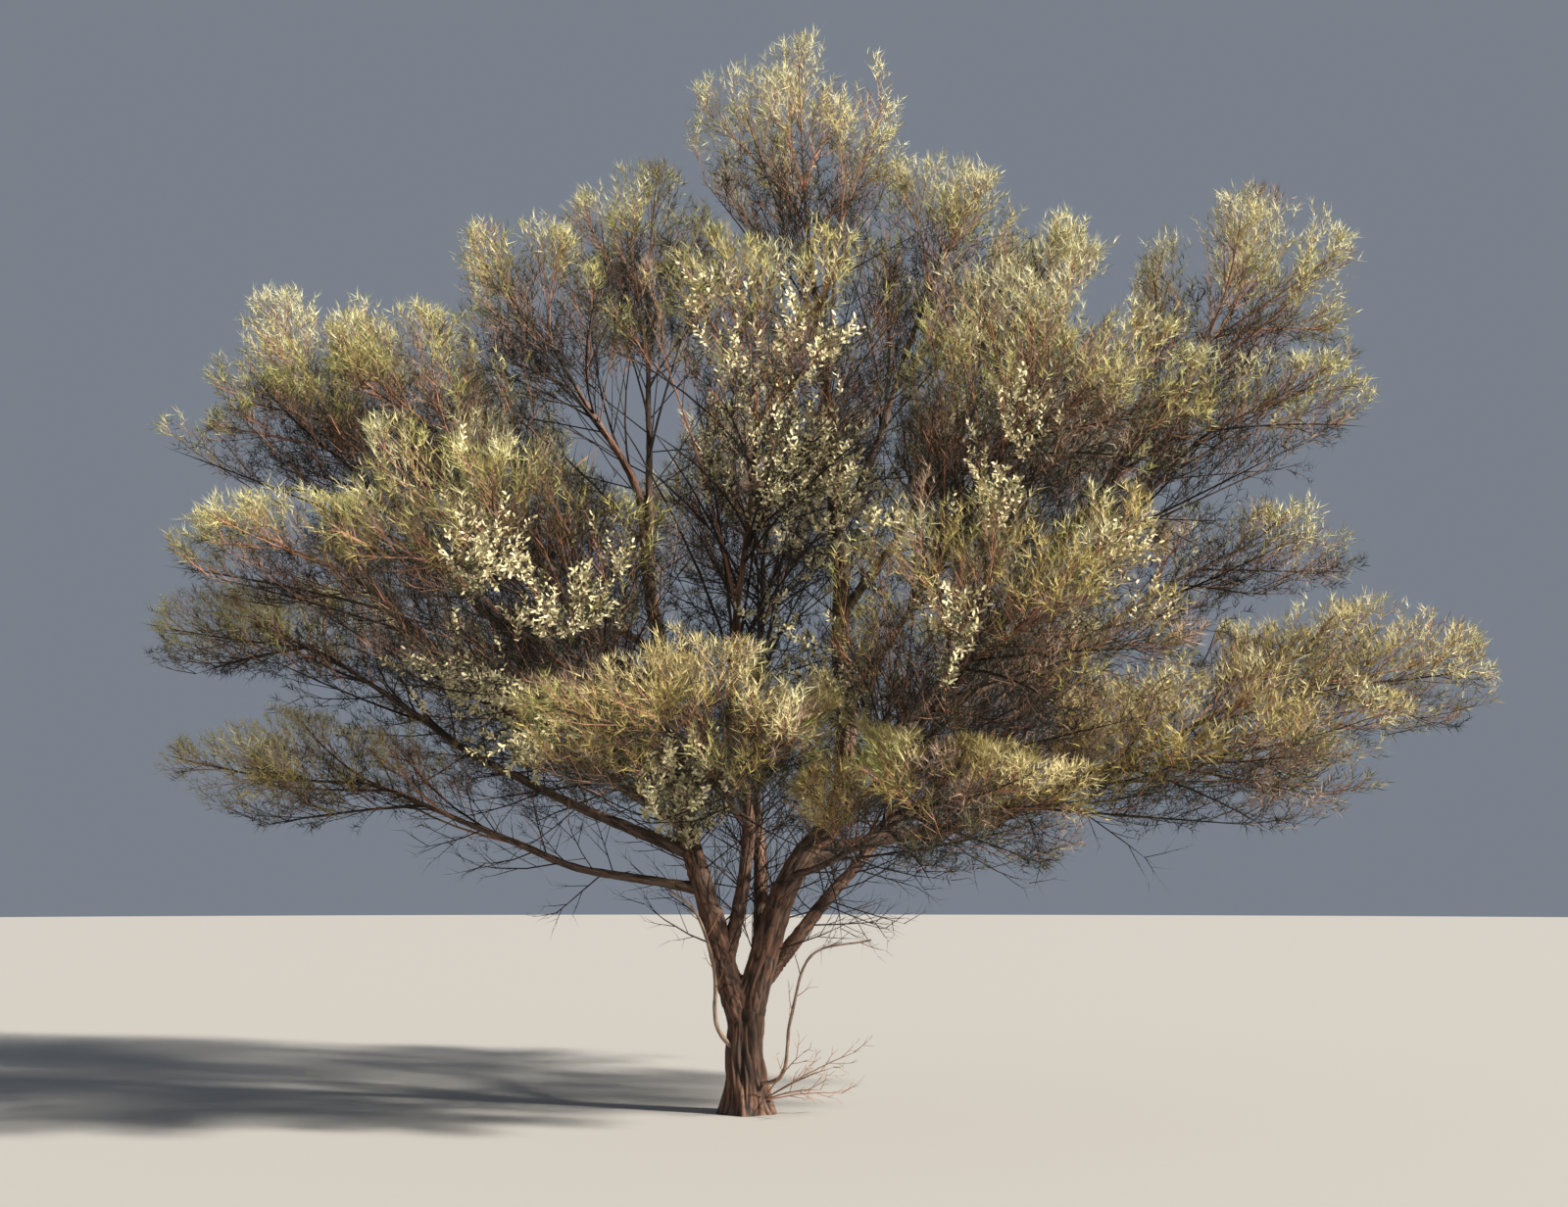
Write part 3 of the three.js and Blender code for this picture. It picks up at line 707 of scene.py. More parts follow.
def crooked(line, length, sway, offset):
    """The line with the small irregular bends of a grown limb, and with both ends kept."""
    share = np.linspace(0, 1, len(line))
    along = share * length * BENDS_EACH_METRE
    bends = np.zeros_like(line)
    for k in range(3):
        places = np.stack([along, np.full_like(share, offset), np.full_like(share, AXES_APART * k)], axis=1)
        bends[:, k] = noise_at(places)
    return line + bends * (sway * np.sin(math.pi * share))[:, None]


def entry_place(start, middle, size):
    """The place where a limb that comes from start enters its mass."""
    outward = start - middle
    return middle + outward * (ENTRY / depth_in(start, middle, size))


@lru_cache(maxsize=None)
def limbs():
    """Every limb of the tree by name, worked out as in the part's source."""
    trunk_points = [
        (0, 0, 0), (0, 0, FORK_HEIGHT / 3), (-TRUNK_LEAN, 0, FORK_HEIGHT * 2 / 3), (0, 0, FORK_HEIGHT),
    ]
    line, length = smooth_line(trunk_points)
    made = {"trunk": Limb(line, length, TRUNK_RADIUS, FORK_RADIUS, 0.0)}
    for order, entry in enumerate(STEMS + BOUGHS + DEAD_LIMBS):
        start = made[entry["start"]].place(entry["at"])
        bends = [np.array(bend, dtype=float) for bend in entry.get("bends", [])]
        if "middle" in entry:
            origin = bends[-1] if bends else start
            end = entry_place(origin, np.array(entry["middle"]), np.array(entry["size"]))
        else:
            end = np.array(entry["end"])
        if not bends:
            sag = BOUGH_SAG * np.linalg.norm(end - start)
            bends = [start + (end - start) * SAG_AT - UP * sag]
        line, length = smooth_line([start, *bends, end])
        offset = LIMBS_APART * (order + 1)
        tip = entry.get("tip", LIMB_TIP_RADIUS)
        foot = entry.get("radius", tip + length * BOUGH_TAPER)
        line = crooked(line, length, min(MOST_SWAY, SWAY_BY_FOOT * foot), offset)
        made[entry["name"]] = Limb(line, length, foot, tip, offset)
    return made


@lru_cache(maxsize=None)
def limb_tree():
    """A search tree of places along every limb, with the limb's radius at each."""
    places = []
    radii = []
    for limb in limbs().values():
        share = np.linspace(0, 1, max(FEWEST_SEARCHED, int(limb.length / SEARCH_STEP)))
        places.extend(limb.place(share))
        radii.extend(limb.radius(share))
    tree = kdtree.KDTree(len(places))
    for k, place in enumerate(places):
        tree.insert(place, k)
    tree.balance()
    return tree, np.array(radii)


def clear_of_limbs(places):
    """Whether each place stands clear of every limb."""
    tree, radii = limb_tree()
    found = [tree.find(place) for place in places]
    nearest = np.array([index for _, index, _ in found])
    distance = np.array([gap for _, _, gap in found])
    return distance > radii[nearest] + LIMB_ROOM


def reach_from(start, direction, mass, longest):
    """How far a shoot can run before it leaves the space of its own mass."""
    p = (start - MIDDLES[mass]) / SIZES[mass]
    d = direction / SIZES[mass]
    a = np.sum(d * d, axis=-1)
    b = np.sum(p * d, axis=-1)
    c = np.sum(p * p, axis=-1) - 1
    reach = np.minimum(longest, (-b + np.sqrt(np.maximum(0, b * b - a * c))) / a * JUST_INSIDE)
    for _ in range(REACH_TRIES):
        outside = ~is_own(start + direction * reach[:, None], mass)
        reach = np.where(outside, reach * REACH_STEP, reach)
    return reach


def mass_stems():
    """The stem of each mass, which grows on from the end of its limb."""
    made = limbs()
    ends = [made[entry["name"]].place(1.0) for entry in CARRIERS]
    headings = [made[entry["name"]].heading(1.0) for entry in CARRIERS]
    start = np.array(ends)
    end = start + (MIDDLES - start) * STEM_REACH
    half = np.linalg.norm(end - start, axis=1, keepdims=True) / 2
    bend = start + np.array(headings) * half
    return grown(start, bend, end, LIMB_TIP_RADIUS, STEM_END_RADIUS, np.arange(len(CARRIERS)))


def fan_directions(axis, count, rng):
    """Directions that fan out evenly round an axis, on a spiral."""
    k = np.arange(count)
    lean = WIDEST_ANGLE * np.sqrt((k + INNERMOST) / count)
    turn = rng.uniform(0, FULL_TURN) + k * GOLDEN_ANGLE
    return turned(lean, axis, turned(turn, *across(axis)))


def carrier_path(limb, stem):
    """Places and headings along the last part of a limb and then along the stem of its mass."""
    leafy = min(LEAFY_SHARE, LEAFY_LENGTH / limb.length)
    on_limb = np.linspace(1 - leafy, 1, LIMB_PATH_PLACES, endpoint=False)
    on_stem = np.linspace(0, 1, STEM_PATH_PLACES)
    stems = stem.take(np.zeros(STEM_PATH_PLACES, int))
    places = np.concatenate([limb.place(on_limb), stems.place(on_stem)])
    headings = np.concatenate([limb.heading(on_limb), stems.heading(on_stem)])
    return places, headings


def branches_of(stems, rng):
    """The branches of every mass: they fan out as in the source, and leave their limb slanting forward."""
    groups = []
    for mass, entry in enumerate(CARRIERS):
        share = AIRY_MASSES.get(MASS_NAMES[mass], 1.0)
        count = round(settings_of("foliage").branches * share * np.prod(SIZES[mass]) ** (2 / 3))
        stem = stems.take(np.full(count, mass))
        axis = unit(unit(MIDDLES[mass] - stem.start[0]) + UPWARD * UP)
        outward = fan_directions(axis, count, rng)
        origin = stem.place(rng.uniform(*BRANCH_ORIGINS, count))
        direction = unit(outward * SIZES[mass] + MIDDLES[mass] - origin)
        reach = reach_from(origin, direction, np.full(count, mass), LONGEST_BRANCH)
        reach = reach * rng.uniform(*BRANCH_REACHES, count)
        end = origin + direction * reach[:, None]
        places, headings = carrier_path(limbs()[entry["name"]], stem.take([0]))
        forward = np.sum(unit(end[:, None] - places) * headings, axis=-1)
        slants = forward >= np.cos(rng.uniform(*BRANCH_SLANT, count))[:, None]
        row = np.where(slants.any(axis=1), len(places) - 1 - slants[:, ::-1].argmax(axis=1), 0)
        start = places[row]
        span = np.linalg.norm(end - start, axis=1, keepdims=True)
        leaving = unit(headings[row] + BRANCH_BEND * unit(end - start))
        bend = start + (leaving / 2 - BRANCH_SAG * UP) * span
        groups.append(grown(start, bend, end, BRANCH_FOOT + BRANCH_TAPER * span[:, 0], BRANCH_TIP, mass))
    return gathered(groups)


def spiral_on(parents, rng, each, first, lean, leans):
    """What stands on a spiral round its parents, from share first on: rows of parents, shares, directions."""
    rows = np.repeat(np.arange(len(parents)), each)
    step = np.tile(np.arange(each), len(parents))
    share = first + (1 - first) * (step + rng.random(len(rows))) / each
    turn = rng.uniform(0, FULL_TURN, len(parents))[rows] + step * GOLDEN_ANGLE
    forward = parents.take(rows).heading(share)
    aside = turned(turn, *across(forward))
    return rows, share, turned(lean * rng.uniform(*leans, len(rows)), forward, aside)


def offshoots(parents, rng, each, first, lean, rise, length, radius):
    """Twigs that leave their parents on a spiral, from share first on, and curve up to their tips."""
    rows, share, leaning = spiral_on(parents, rng, each, first, lean, TWIG_LEANS)
    host = parents.take(rows)
    direction = unit(leaning + rise / 2 * UP)
    reach = length * (LENGTH_AT_FOOT - SHORTER_AT_TIP * share)
    reach = (reach * rng.uniform(*TWIG_LENGTHS, len(rows)))[:, None]
    start = host.place(share)
    bend = start + direction * reach / 2
    end = bend + unit(direction + rise * UP) * reach / 2
    return grown(start, bend, end, radius, radius / 2, host.mass, host.spray)


def kept_in_space(twigs):
    """The twigs that stay in the space of their own mass, some of them shortened, and clear of the limbs."""
    def stays(twigs):
        places = twigs.end + unit(twigs.end - twigs.bend) * NEEDLE_ROOM
        edge = 1 - RAGGED * np.clip(RAGGED_MEAN + RAGGED_SWING * noise_at(twigs.end * RAGGED_GRAIN), 0, 1)
        return is_own(places, twigs.mass) & (depth_in(places, MIDDLES[twigs.mass], SIZES[twigs.mass]) < edge)

    for share in SHORTER_TWIGS:
        twigs = twigs.shortened(~stays(twigs), share)
    twigs = twigs.take(stays(twigs) & ~in_clearings(twigs.end))
    return twigs.take(clear_of_limbs(twigs.end))


def in_patches(places, patches):
    """Whether each place lies in one of the patches."""
    inside = np.zeros(len(places), dtype=bool)
    for middle, radius in patches:
        inside |= np.linalg.norm(places - np.array(middle), axis=-1) < radius
    return inside


def carries_leaves(places, rng):
    """Whether each place carries broad pale leaves, by the patches and the share of each."""
    chosen = np.zeros(len(places), dtype=bool)
    for middle, radius, share in PALE_PATCHES:
        chosen |= in_patches(places, [(middle, radius)]) & (rng.random(len(places)) < share)
    return chosen


def in_clearings(places):
    """Whether each place lies in a clearing, where the sky shows through."""
    inside = np.zeros(len(places), dtype=bool)
    for first, last, radius in CLEARINGS:
        a = np.array(first)
        run = np.array(last) - a
        share = np.clip((places - a) @ run / (run @ run), 0, 1)
        inside |= np.linalg.norm(places - a - share[:, None] * run, axis=-1) < radius
    return inside


def mesh_of(name, corners, face_groups, materials, shades=None, smooth=False):
    """A mesh from its corners, groups of faces with as many corners each, and each face's material."""
    if shades is None:
        shades = [np.zeros(len(faces)) for faces in face_groups]
    mesh = bpy.data.meshes.new(name)
    mesh.vertices.add(len(corners))
    mesh.vertices.foreach_set("co", np.asarray(corners, np.float32).ravel())
    sizes = np.concatenate([np.full(len(faces), faces.shape[1]) for faces in face_groups])
    starts = np.concatenate([[0], np.cumsum(sizes)[:-1]])
    mesh.loops.add(int(sizes.sum()))
    mesh.loops.foreach_set("vertex_index", np.concatenate([f.ravel() for f in face_groups]).astype(np.int32))
    mesh.polygons.add(len(sizes))
    mesh.polygons.foreach_set("loop_start", starts.astype(np.int32))
    mesh.polygons.foreach_set("material_index", np.concatenate(shades).astype(np.int32))
    mesh.polygons.foreach_set("use_smooth", np.full(len(sizes), smooth))
    mesh.update(calc_edges=True)
    for material in materials:
        mesh.materials.append(material)
    return mesh


def joined(tubes):
    """Several meshes as one: corners, and the groups of four-sided and of three-sided faces."""
    firsts = np.cumsum([0, *(len(corners) for corners, _, _ in tubes)])
    fours = np.concatenate([faces + first for (_, faces, _), first in zip(tubes, firsts)])
    threes = np.concatenate([faces + first for (_, _, faces), first in zip(tubes, firsts)])
    return np.concatenate([corners for corners, _, _ in tubes]), [fours, threes]


def new_piece(mesh, nodes):
    """Adds a mesh as a piece of the tree, which rides on the tree and stands for the named nodes."""
    piece = bpy.data.objects.new(mesh.name, mesh)
    bpy.context.scene.collection.objects.link(piece)
    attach(piece, "root")
    if nodes:
        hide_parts(*nodes)


def twig_tubes(twigs, sides, segments):
    """Thin tubes along twigs, each closed to a point: corners, four-sided and three-sided faces."""
    count = len(twigs)
    reference, _ = across(twigs.heading(np.zeros(count)))
    rings = []
    for k in range(segments):
        share = np.full(count, k / segments)
        forward = twigs.heading(share)
        side = unit(reference - forward * np.sum(reference * forward, axis=1, keepdims=True))
        other = np.cross(forward, side)
        radius = (twigs.foot + (twigs.tip - twigs.foot) * share)[:, None]
        middle = twigs.place(share)
        for j in range(sides):
            angle = FULL_TURN * j / sides
            rings.append(middle + radius * (math.cos(angle) * side + math.sin(angle) * other))
    corners = np.stack([*rings, twigs.end], axis=1)
    each = segments * sides + 1
    base = np.arange(count)[:, None] * each
    quads = [
        (k * sides + j, k * sides + (j + 1) % sides, (k + 1) * sides + (j + 1) % sides, (k + 1) * sides + j)
        for k in range(segments - 1) for j in range(sides)
    ]
    last = (segments - 1) * sides
    points = [(last + j, last + (j + 1) % sides, each - 1) for j in range(sides)]
    fours = np.concatenate([base + np.array(q) for q in quads]) if quads else np.zeros((0, 4), int)
    threes = np.concatenate([base + np.array(p) for p in points])
    return corners.reshape(-1, 3), fours, threes


def twig_mesh(name, orders, order_tubes, rng):
    """Orders of twigs as one mesh. Each has its sides, its segments and its brightness."""
    tubes = []
    four_shades = []
    three_shades = []
    for twigs, (sides, segments, bright) in zip(orders, order_tubes):
        tubes.append(twig_tubes(twigs, sides, segments))
        _, height = place_in_mass(twigs)
        light = bright + TWIG_LIGHT * np.clip(height, -1, 1) + crown_light(twigs.end)
        light = light + rng.normal(0, TWIG_LIGHT_SPREAD, len(twigs))
        shade = np.digitize(light, TWIG_STEPS)
        four_shades.append(np.tile(shade, (segments - 1) * sides))
        three_shades.append(np.tile(shade, sides))
    corners, groups = joined(tubes)
    shades = [np.concatenate(four_shades), np.concatenate(three_shades)]
    materials = plain_materials("foliage", TWIG_COLOURS, "", TWIG_ROUGHNESS)
    return mesh_of(name, corners, groups, materials, shades)


def blades_on(twigs, rng, each, first, lean, rise):
    """Where needles or leaves stand on twigs: the rows of their twigs, their feet and their directions."""
    rows, share, leaning = spiral_on(twigs, rng, each, first, lean, BLADE_LEANS)
    return rows, twigs.take(rows).place(share), unit(leaning + rise * UP)


def needle_mesh(name, feet, directions, facing, shades, rng):
    """Needles in pairs: two slim blades that part from a shared foot and mostly turn their faces one way."""
    s = settings_of("foliage")
    count = len(feet)
    broad = unit(np.cross(facing, directions))
    broad = turned(rng.normal(0, FACE_SPREAD, count), broad, np.cross(directions, broad))
    aside = np.cross(directions, broad)
    corners = [feet - broad * s.needle_width / 2, feet + broad * s.needle_width / 2]
    for parting in (PARTING, -PARTING):
        slant = parting * rng.uniform(*PARTINGS, (count, 1))
        skew = rng.normal(0, PARTING / 2, (count, 1))
        reach = s.needle_length * rng.uniform(*NEEDLE_LENGTHS, (count, 1))
        corners.append(feet + unit(directions + slant * aside + skew * broad) * reach)
    base = np.arange(count)[:, None] * 4
    faces = np.concatenate([base + np.array([0, 1, 2]), base + np.array([1, 0, 3])])
    corners = np.stack(corners, axis=1).reshape(-1, 3)
    materials = plain_materials("foliage", NEEDLE_COLOURS, "needle_", BLADE_ROUGHNESS)
    return mesh_of(name, corners, [faces], materials, [np.tile(shades, 2)])


def leaf_mesh(name, feet, directions, shades, rng):
    """Broad leaves with rounded shoulders, slightly cupped across their width."""
    s = settings_of("pale_leaves")
    count = len(feet)
    broad = turned(rng.uniform(0, FULL_TURN, count), *across(directions))
    face = np.cross(directions, broad)
    scale = rng.uniform(*LEAF_SIZES, count)[:, None]
    reach = s.leaf_length * scale
    half = s.leaf_width * scale / 2
    cup = face * half * LEAF_CUP
    low, high = (feet + directions * reach * share + cup for share in LEAF_SHOULDERS)
    inner = broad * half
    outer = inner * OUTER_SHOULDER
    tips = feet + directions * reach
    corners = np.stack([feet, low + inner, high + outer, tips, high - outer, low - inner], axis=1)
    base = np.arange(count)[:, None] * 6
    fours = base + np.array([1, 2, 4, 5])
    threes = np.concatenate([base + np.array([0, 1, 5]), base + np.array([2, 3, 4])])
    materials = plain_materials("pale_leaves", LEAF_COLOURS, "leaf_", BLADE_ROUGHNESS)
    return mesh_of(name, corners.reshape(-1, 3), [fours, threes], materials, [shades, np.tile(shades, 2)])


class Field:
    """A shader socket that can be added to, taken from a number and multiplied, by Math nodes."""

    def __init__(self, shader, socket):
        self.shader = shader
        self.socket = socket

    def _math(self, operation, first, second):
        return self.shader.node("ShaderNodeMath", {"operation": operation}, {0: first, 1: second})

    def __add__(self, other):
        return self._math("ADD", self, other)

    def __rsub__(self, other):
        return self._math("SUBTRACT", other, self)

    def __mul__(self, other):
        return self._math("MULTIPLY", self, other)


class Shader:
    """One material, built from its nodes. Constants of the surface are set on its own sockets."""

    def __init__(self, name, **constants):
        self.material = bpy.data.materials.new(name)
        self.material.use_nodes = True
        self.tree = self.material.node_tree
        self.surface = self.tree.nodes["Principled BSDF"]
        for socket, value in constants.items():
            self.surface.inputs[socket.replace("_", " ")].default_value = value

    def node(self, kind, settings=None, inputs=None, output=0):
        """Adds a node: its settings are set first, then the values or links of its sockets."""
        made = self.tree.nodes.new(kind)
        for key, value in (settings or {}).items():
            if key == "ramp":
                self._set_ramp(made.color_ramp, value)
            else:
                setattr(made, key, value)
        for key, value in (inputs or {}).items():
            if isinstance(value, Field):
                self.tree.links.new(value.socket, made.inputs[key])
            else:
                made.inputs[key].default_value = value
        return Field(self, made.outputs[output])

    def _set_ramp(self, ramp, stops):
        while len(ramp.elements) < len(stops):
            ramp.elements.new(0.5)
        for element, (position, colour) in zip(ramp.elements, stops):
            element.position = position
            element.color = (*colour, 1.0)

    def stretched(self, place, scale):
        """The place with each of its parts scaled."""
        return self.node("ShaderNodeVectorMath", {"operation": "MULTIPLY"}, {0: place, 1: scale})

    def grain(self, place, scale, detail):
        """Noise of a given scale and detail at the place."""
        return self.node("ShaderNodeTexNoise", {}, {
            "Vector": place, "Scale": scale, "Detail": detail, "Roughness": GRAIN_ROUGHNESS,
        })

    def ramp(self, field, stops):
        """The field turned into colours."""
        return self.node("ShaderNodeValToRGB", {"ramp": stops}, {0: field})

    def mixed(self, factor, first, second):
        """Two colours mixed by a factor."""
        settings = {"data_type": "RGBA", "blend_type": "MIX", "clamp_factor": True}
        return self.node("ShaderNodeMix", settings, {0: factor, 6: first, 7: second}, output=2)

    def clamped(self, field, low, high):
        """The field stretched from low to high onto 0 to 1, and kept in it."""
        inputs = {"Value": field, "From Min": low, "From Max": high}
        return self.node("ShaderNodeMapRange", {"interpolation_type": "SMOOTHSTEP"}, inputs)

    def drive(self, socket, field):
        """Links a field to a socket of the surface."""
        self.tree.links.new(field.socket, self.surface.inputs[socket])

    def bump(self, height, strength, distance):
        """Links a height to the surface's normal."""
        self.drive("Normal", self.node("ShaderNodeBump", {}, {
            "Strength": strength, "Distance": distance, "Height": height,
        }))


def opaque(colour):
    """A colour as a shader socket takes it."""
    return (*colour, 1.0)


def bark_material(name, furrow, fibre, ridge):
    """Furrowed fibrous bark: dark furrows, red-brown fibres, worn pale ridges and grey weathering."""
    grey = tuple(settings_of("bark").grey)
    shader = Shader(name, Roughness=EVEN_ROUGHNESS)
    place = shader.node("ShaderNodeAttribute", {"attribute_name": "bark_place"}, output=1)
    furrows, fibres, flakes = (
        shader.grain(shader.stretched(place, (1, 1, drawn)), scale, detail) * share
        for drawn, scale, detail, share in BARK_GRAINS
    )
    height = furrows + fibres + flakes
    worn = shader.ramp(height, list(zip(BARK_STEPS, (furrow, fibre, ridge))))
    weather = shader.clamped(shader.grain(place, *WEATHER_GRAIN), *WEATHER_RANGE)
    greyed = shader.mixed(weather * WEATHERING, worn, opaque(grey))
    relief = shader.node("ShaderNodeAttribute", {"attribute_name": "bark_depth"}, output=2)
    shader.drive("Base Color", shader.mixed(shader.clamped(relief, 0.0, DEEP_BARK), opaque(furrow), greyed))
    shader.drive("Roughness", BARK_ROUGHNESS - height * SMOOTHER_RIDGES)
    shader.bump(height, BUMP_STRENGTH, BUMP_DISTANCE)
    return shader.material


def plain_material(name, colour, roughness):
    """A plain colour for needles, leaves or twigs, which are dealt out by spray."""
    shader = Shader(name, Base_Color=opaque(colour), Roughness=roughness, Specular_IOR_Level=PLAIN_GLOSS)
    return shader.material


def colour_property(name, description, default):
    """A colour that a user can change."""
    return bpy.props.FloatVectorProperty(
        name=name, description=description, default=default, subtype="COLOR", size=3, min=0, max=1)


def length_property(name, description, default):
    """A length in metres that a user can change."""
    return bpy.props.FloatProperty(
        name=name, description=description, default=default, unit="LENGTH", subtype="DISTANCE", min=0)


def count_property(name, description, default):
    """A whole number that a user can change."""
    return bpy.props.IntProperty(name=name, description=description, default=default, min=1)


class BarkSettings(bpy.types.PropertyGroup):
    """The relief and the colours of the bark."""

    furrow_spacing: length_property("Furrow spacing", "Distance between furrows round the trunk", 0.028)
    furrow_depth: length_property("Furrow depth", "Depth of the furrows on the trunk", 0.018)
    trunk_grid: length_property("Trunk grid", "Distance between the corners of the trunk's mesh", 0.0088)
    furrow: colour_property("Furrow", "Colour deep in the bark", (0.02, 0.012, 0.008))
    fibre: colour_property("Fibre", "Colour of the bark's fibres", (0.115, 0.055, 0.034))
    ridge: colour_property("Ridge", "Colour of the worn ridges", (0.31, 0.165, 0.1))
    grey: colour_property("Weathering", "Colour of the weathered bark", (0.12, 0.085, 0.067))
    dead: colour_property("Dead wood", "Colour of the bare dead wood", (0.36, 0.245, 0.175))


class FoliageSettings(bpy.types.PropertyGroup):
    """How the masses branch, and the sizes and colours of needles and twigs."""

    branches: count_property("Branches", "Branches in a mass of medium size", 17)
    branchlets: count_property("Branchlets", "Branchlets on each branch", 12)
    twigs: count_property("Twigs", "Twigs on each branchlet", 10)
    needles: count_property("Needles", "Pairs of needles on each leafy twig", 7)
    branchlet_length: length_property("Branchlet length", "Length of the branchlets", 0.6)
    twig_length: length_property("Twig length", "Length of the last twigs", 0.26)
    needle_length: length_property("Needle length", "Length of a needle", 0.08)
    needle_width: length_property("Needle width", "Width of a needle at its foot", 0.0047)
    olive: colour_property("Olive", "Colour of most needles low in the crown", (0.24, 0.2, 0.055))
    golden: colour_property("Golden", "Colour of sunlit needles low in the crown", (0.48, 0.415, 0.205))
    # Khaki is the step of painted light between olive and the sunlit golden.
    khaki: colour_property("Khaki", "Colour of older needles low in the crown", (0.4, 0.325, 0.12))
    grey_green: colour_property("Grey green", "Colour of needles on shaded sides", (0.065, 0.058, 0.025))
    shade: colour_property("Shade", "Colour of needles deep inside", (0.017, 0.017, 0.012))
    pale_olive: colour_property("Pale olive", "Colour of most needles high up", (0.27, 0.26, 0.085))
    # Pale khaki is the step of painted light between pale olive and the sunlit straw.
    pale_khaki: colour_property("Pale khaki", "Colour of older needles high up", (0.42, 0.385, 0.15))
    straw: colour_property("Straw", "Colour of sunlit needles high up", (0.52, 0.495, 0.29))
    fresh: colour_property("Fresh green", "Colour of new growth", (0.2, 0.215, 0.06))
    dry: colour_property("Dry", "Colour of dry needles", (0.27, 0.185, 0.13))
    # Dark twig is older twigs and also painted shade low and deep in the crown.
    dark_twig: colour_property("Dark twig", "Colour of older twigs", (0.028, 0.02, 0.016))
    # Red twig is young twigs and also painted sunlight.
    red_twig: colour_property("Red twig", "Colour of young twigs", (0.29, 0.145, 0.085))
    # Pale twig is bare dead twigs and also painted highlights on the most sunlit twigs.
    pale_twig: colour_property("Pale twig", "Colour of bare dead twigs", (0.38, 0.265, 0.175))


class PaleLeafSettings(bpy.types.PropertyGroup):
    """The sizes and colours of the broad pale leaves."""

    leaf_length: length_property("Leaf length", "Length of a pale leaf", 0.04)
    leaf_width: length_property("Leaf width", "Width of a pale leaf", 0.0155)
    leaves: count_property("Leaves", "Leaves on each twig of a clump", 14)
    cream: colour_property("Cream", "Colour of the palest leaves", (0.56, 0.5, 0.31))
    sage: colour_property("Sage", "Colour of the other leaves", (0.3, 0.28, 0.16))
    moss: colour_property("Moss", "Colour of shaded leaves", (0.09, 0.085, 0.045))


class StageSettings(bpy.types.PropertyGroup):
    """The floor, the lights and the camera."""

    floor_colour: colour_property("Floor", "Colour of the floor", (0.33, 0.322, 0.31))
    sky_colour: colour_property("Surroundings", "Colour of the light all round", (0.74, 0.84, 1.0))
    floor_radius: length_property("Floor radius", "Radius of the floor", 90.0)
    eye_height: length_property("Eye height", "Height of the camera", 1.5)
    eye_distance: length_property("Eye distance", "Distance of the camera from the trunk", 12.85)
    eye_side: length_property("Eye side", "How far the camera stands to the right", 0.25)


def settings_of(group):
    """One group of settings of the scene."""
    return getattr(bpy.context.scene, "acacia_" + group)


@lru_cache(maxsize=None)
def plain_materials(group, colours, prefix, roughness):
    """The plain materials of needles, leaves or twigs, in the order in which shades number them."""
    s = settings_of(group)
    return [plain_material(prefix + colour, getattr(s, colour), roughness) for colour in colours]


@lru_cache(maxsize=None)
def crown():
    """Every branch, branchlet and twig of the masses, by the source's rule carried to finer twigs."""
    s = settings_of("foliage")
    rng = np.random.default_rng(CROWN_SEED)
    stems = mass_stems()
    branches = branches_of(stems, rng)
    branches = branches.take(clear_of_limbs(branches.end))
    branchlets = offshoots(branches, rng, each=s.branchlets, length=s.branchlet_length, **BRANCHLETS)
    branchlets = kept_in_space(branchlets)
    branchlets.spray = np.arange(len(branchlets))
    twigs = offshoots(branchlets, rng, each=s.twigs, length=s.twig_length, **LAST_TWIGS)
    return stems, branches, branchlets, kept_in_space(twigs), bare_twigs(stems, branches, rng)


def bare_twigs(stems, branches, rng):
    """Bare dark twigs, which fill the inside of each mass under its needles."""
    on_branches = offshoots(branches, rng, **BARE_ON_BRANCHES)
    on_stems = offshoots(stems, rng, **BARE_ON_STEMS)
    long = kept_in_space(gathered([on_branches, on_stems]))
    return gathered([long, kept_in_space(offshoots(long, rng, **BARE_FORKS))])


def place_in_mass(twigs):
    """How far out and how high up in its mass the end of each twig is."""
    from_middle = (twigs.end - MIDDLES[twigs.mass]) / SIZES[twigs.mass]
    return np.linalg.norm(from_middle, axis=1), from_middle[:, 2]


def crown_light(places):
    """How much brighter things are for their place in the whole crown: high and on its outside."""
    out = np.clip(depth_in(places, CROWN_MIDDLE, CROWN_SIZE), DARKEST_DEPTH, 1)
    up = places[:, 2] - CROWN_MIDDLE[2]
    return BRIGHTER_EACH_METRE * up + BRIGHTER_OUTSIDE * (out - CROWN_EVEN_DEPTH)


def mood_at(places):
    """How bright the sprays at places are beside those of their neighbourhood."""
    return MOOD_BY_PLACE * noise_at(places * MOOD_GRAIN)


@lru_cache(maxsize=None)
def spray_moods():
    """For each branchlet, how bright its spray is beside its neighbours, and whether it is dry."""
    rng = np.random.default_rng(MOOD_SEED)
    branchlets = crown()[2]
    mood = mood_at(branchlets.end) + rng.normal(0, MOOD_BY_SPRAY, len(branchlets))
    return mood, rng.random(len(branchlets)) < DRY_SPRAYS


def needle_shades(twigs, mood, rng):
    """The number of the needles' colour on each twig: bright at the top of its mass and of the tree."""
    depth, height = place_in_mass(twigs)
    light = BRIGHTER_TOP * np.clip(height, -1, 1) + BRIGHTER_EDGE * (np.clip(depth, 0, 1) - EVEN_DEPTH)
    light = light + mood + crown_light(twigs.end) + rng.normal(0, NEEDLE_LIGHT_SPREAD, len(twigs))
    shades = np.digitize(light, SHADE_STEPS)
    high = twigs.end[:, 2] + PALER_BY_MOOD * mood > PALER_FROM
    shades[high & (shades >= FIRST_WITH_PALER)] += PALER_BY
    shades[in_patches(twigs.end, FRESH_PATCHES)] = FRESH_SHADE
    return shades


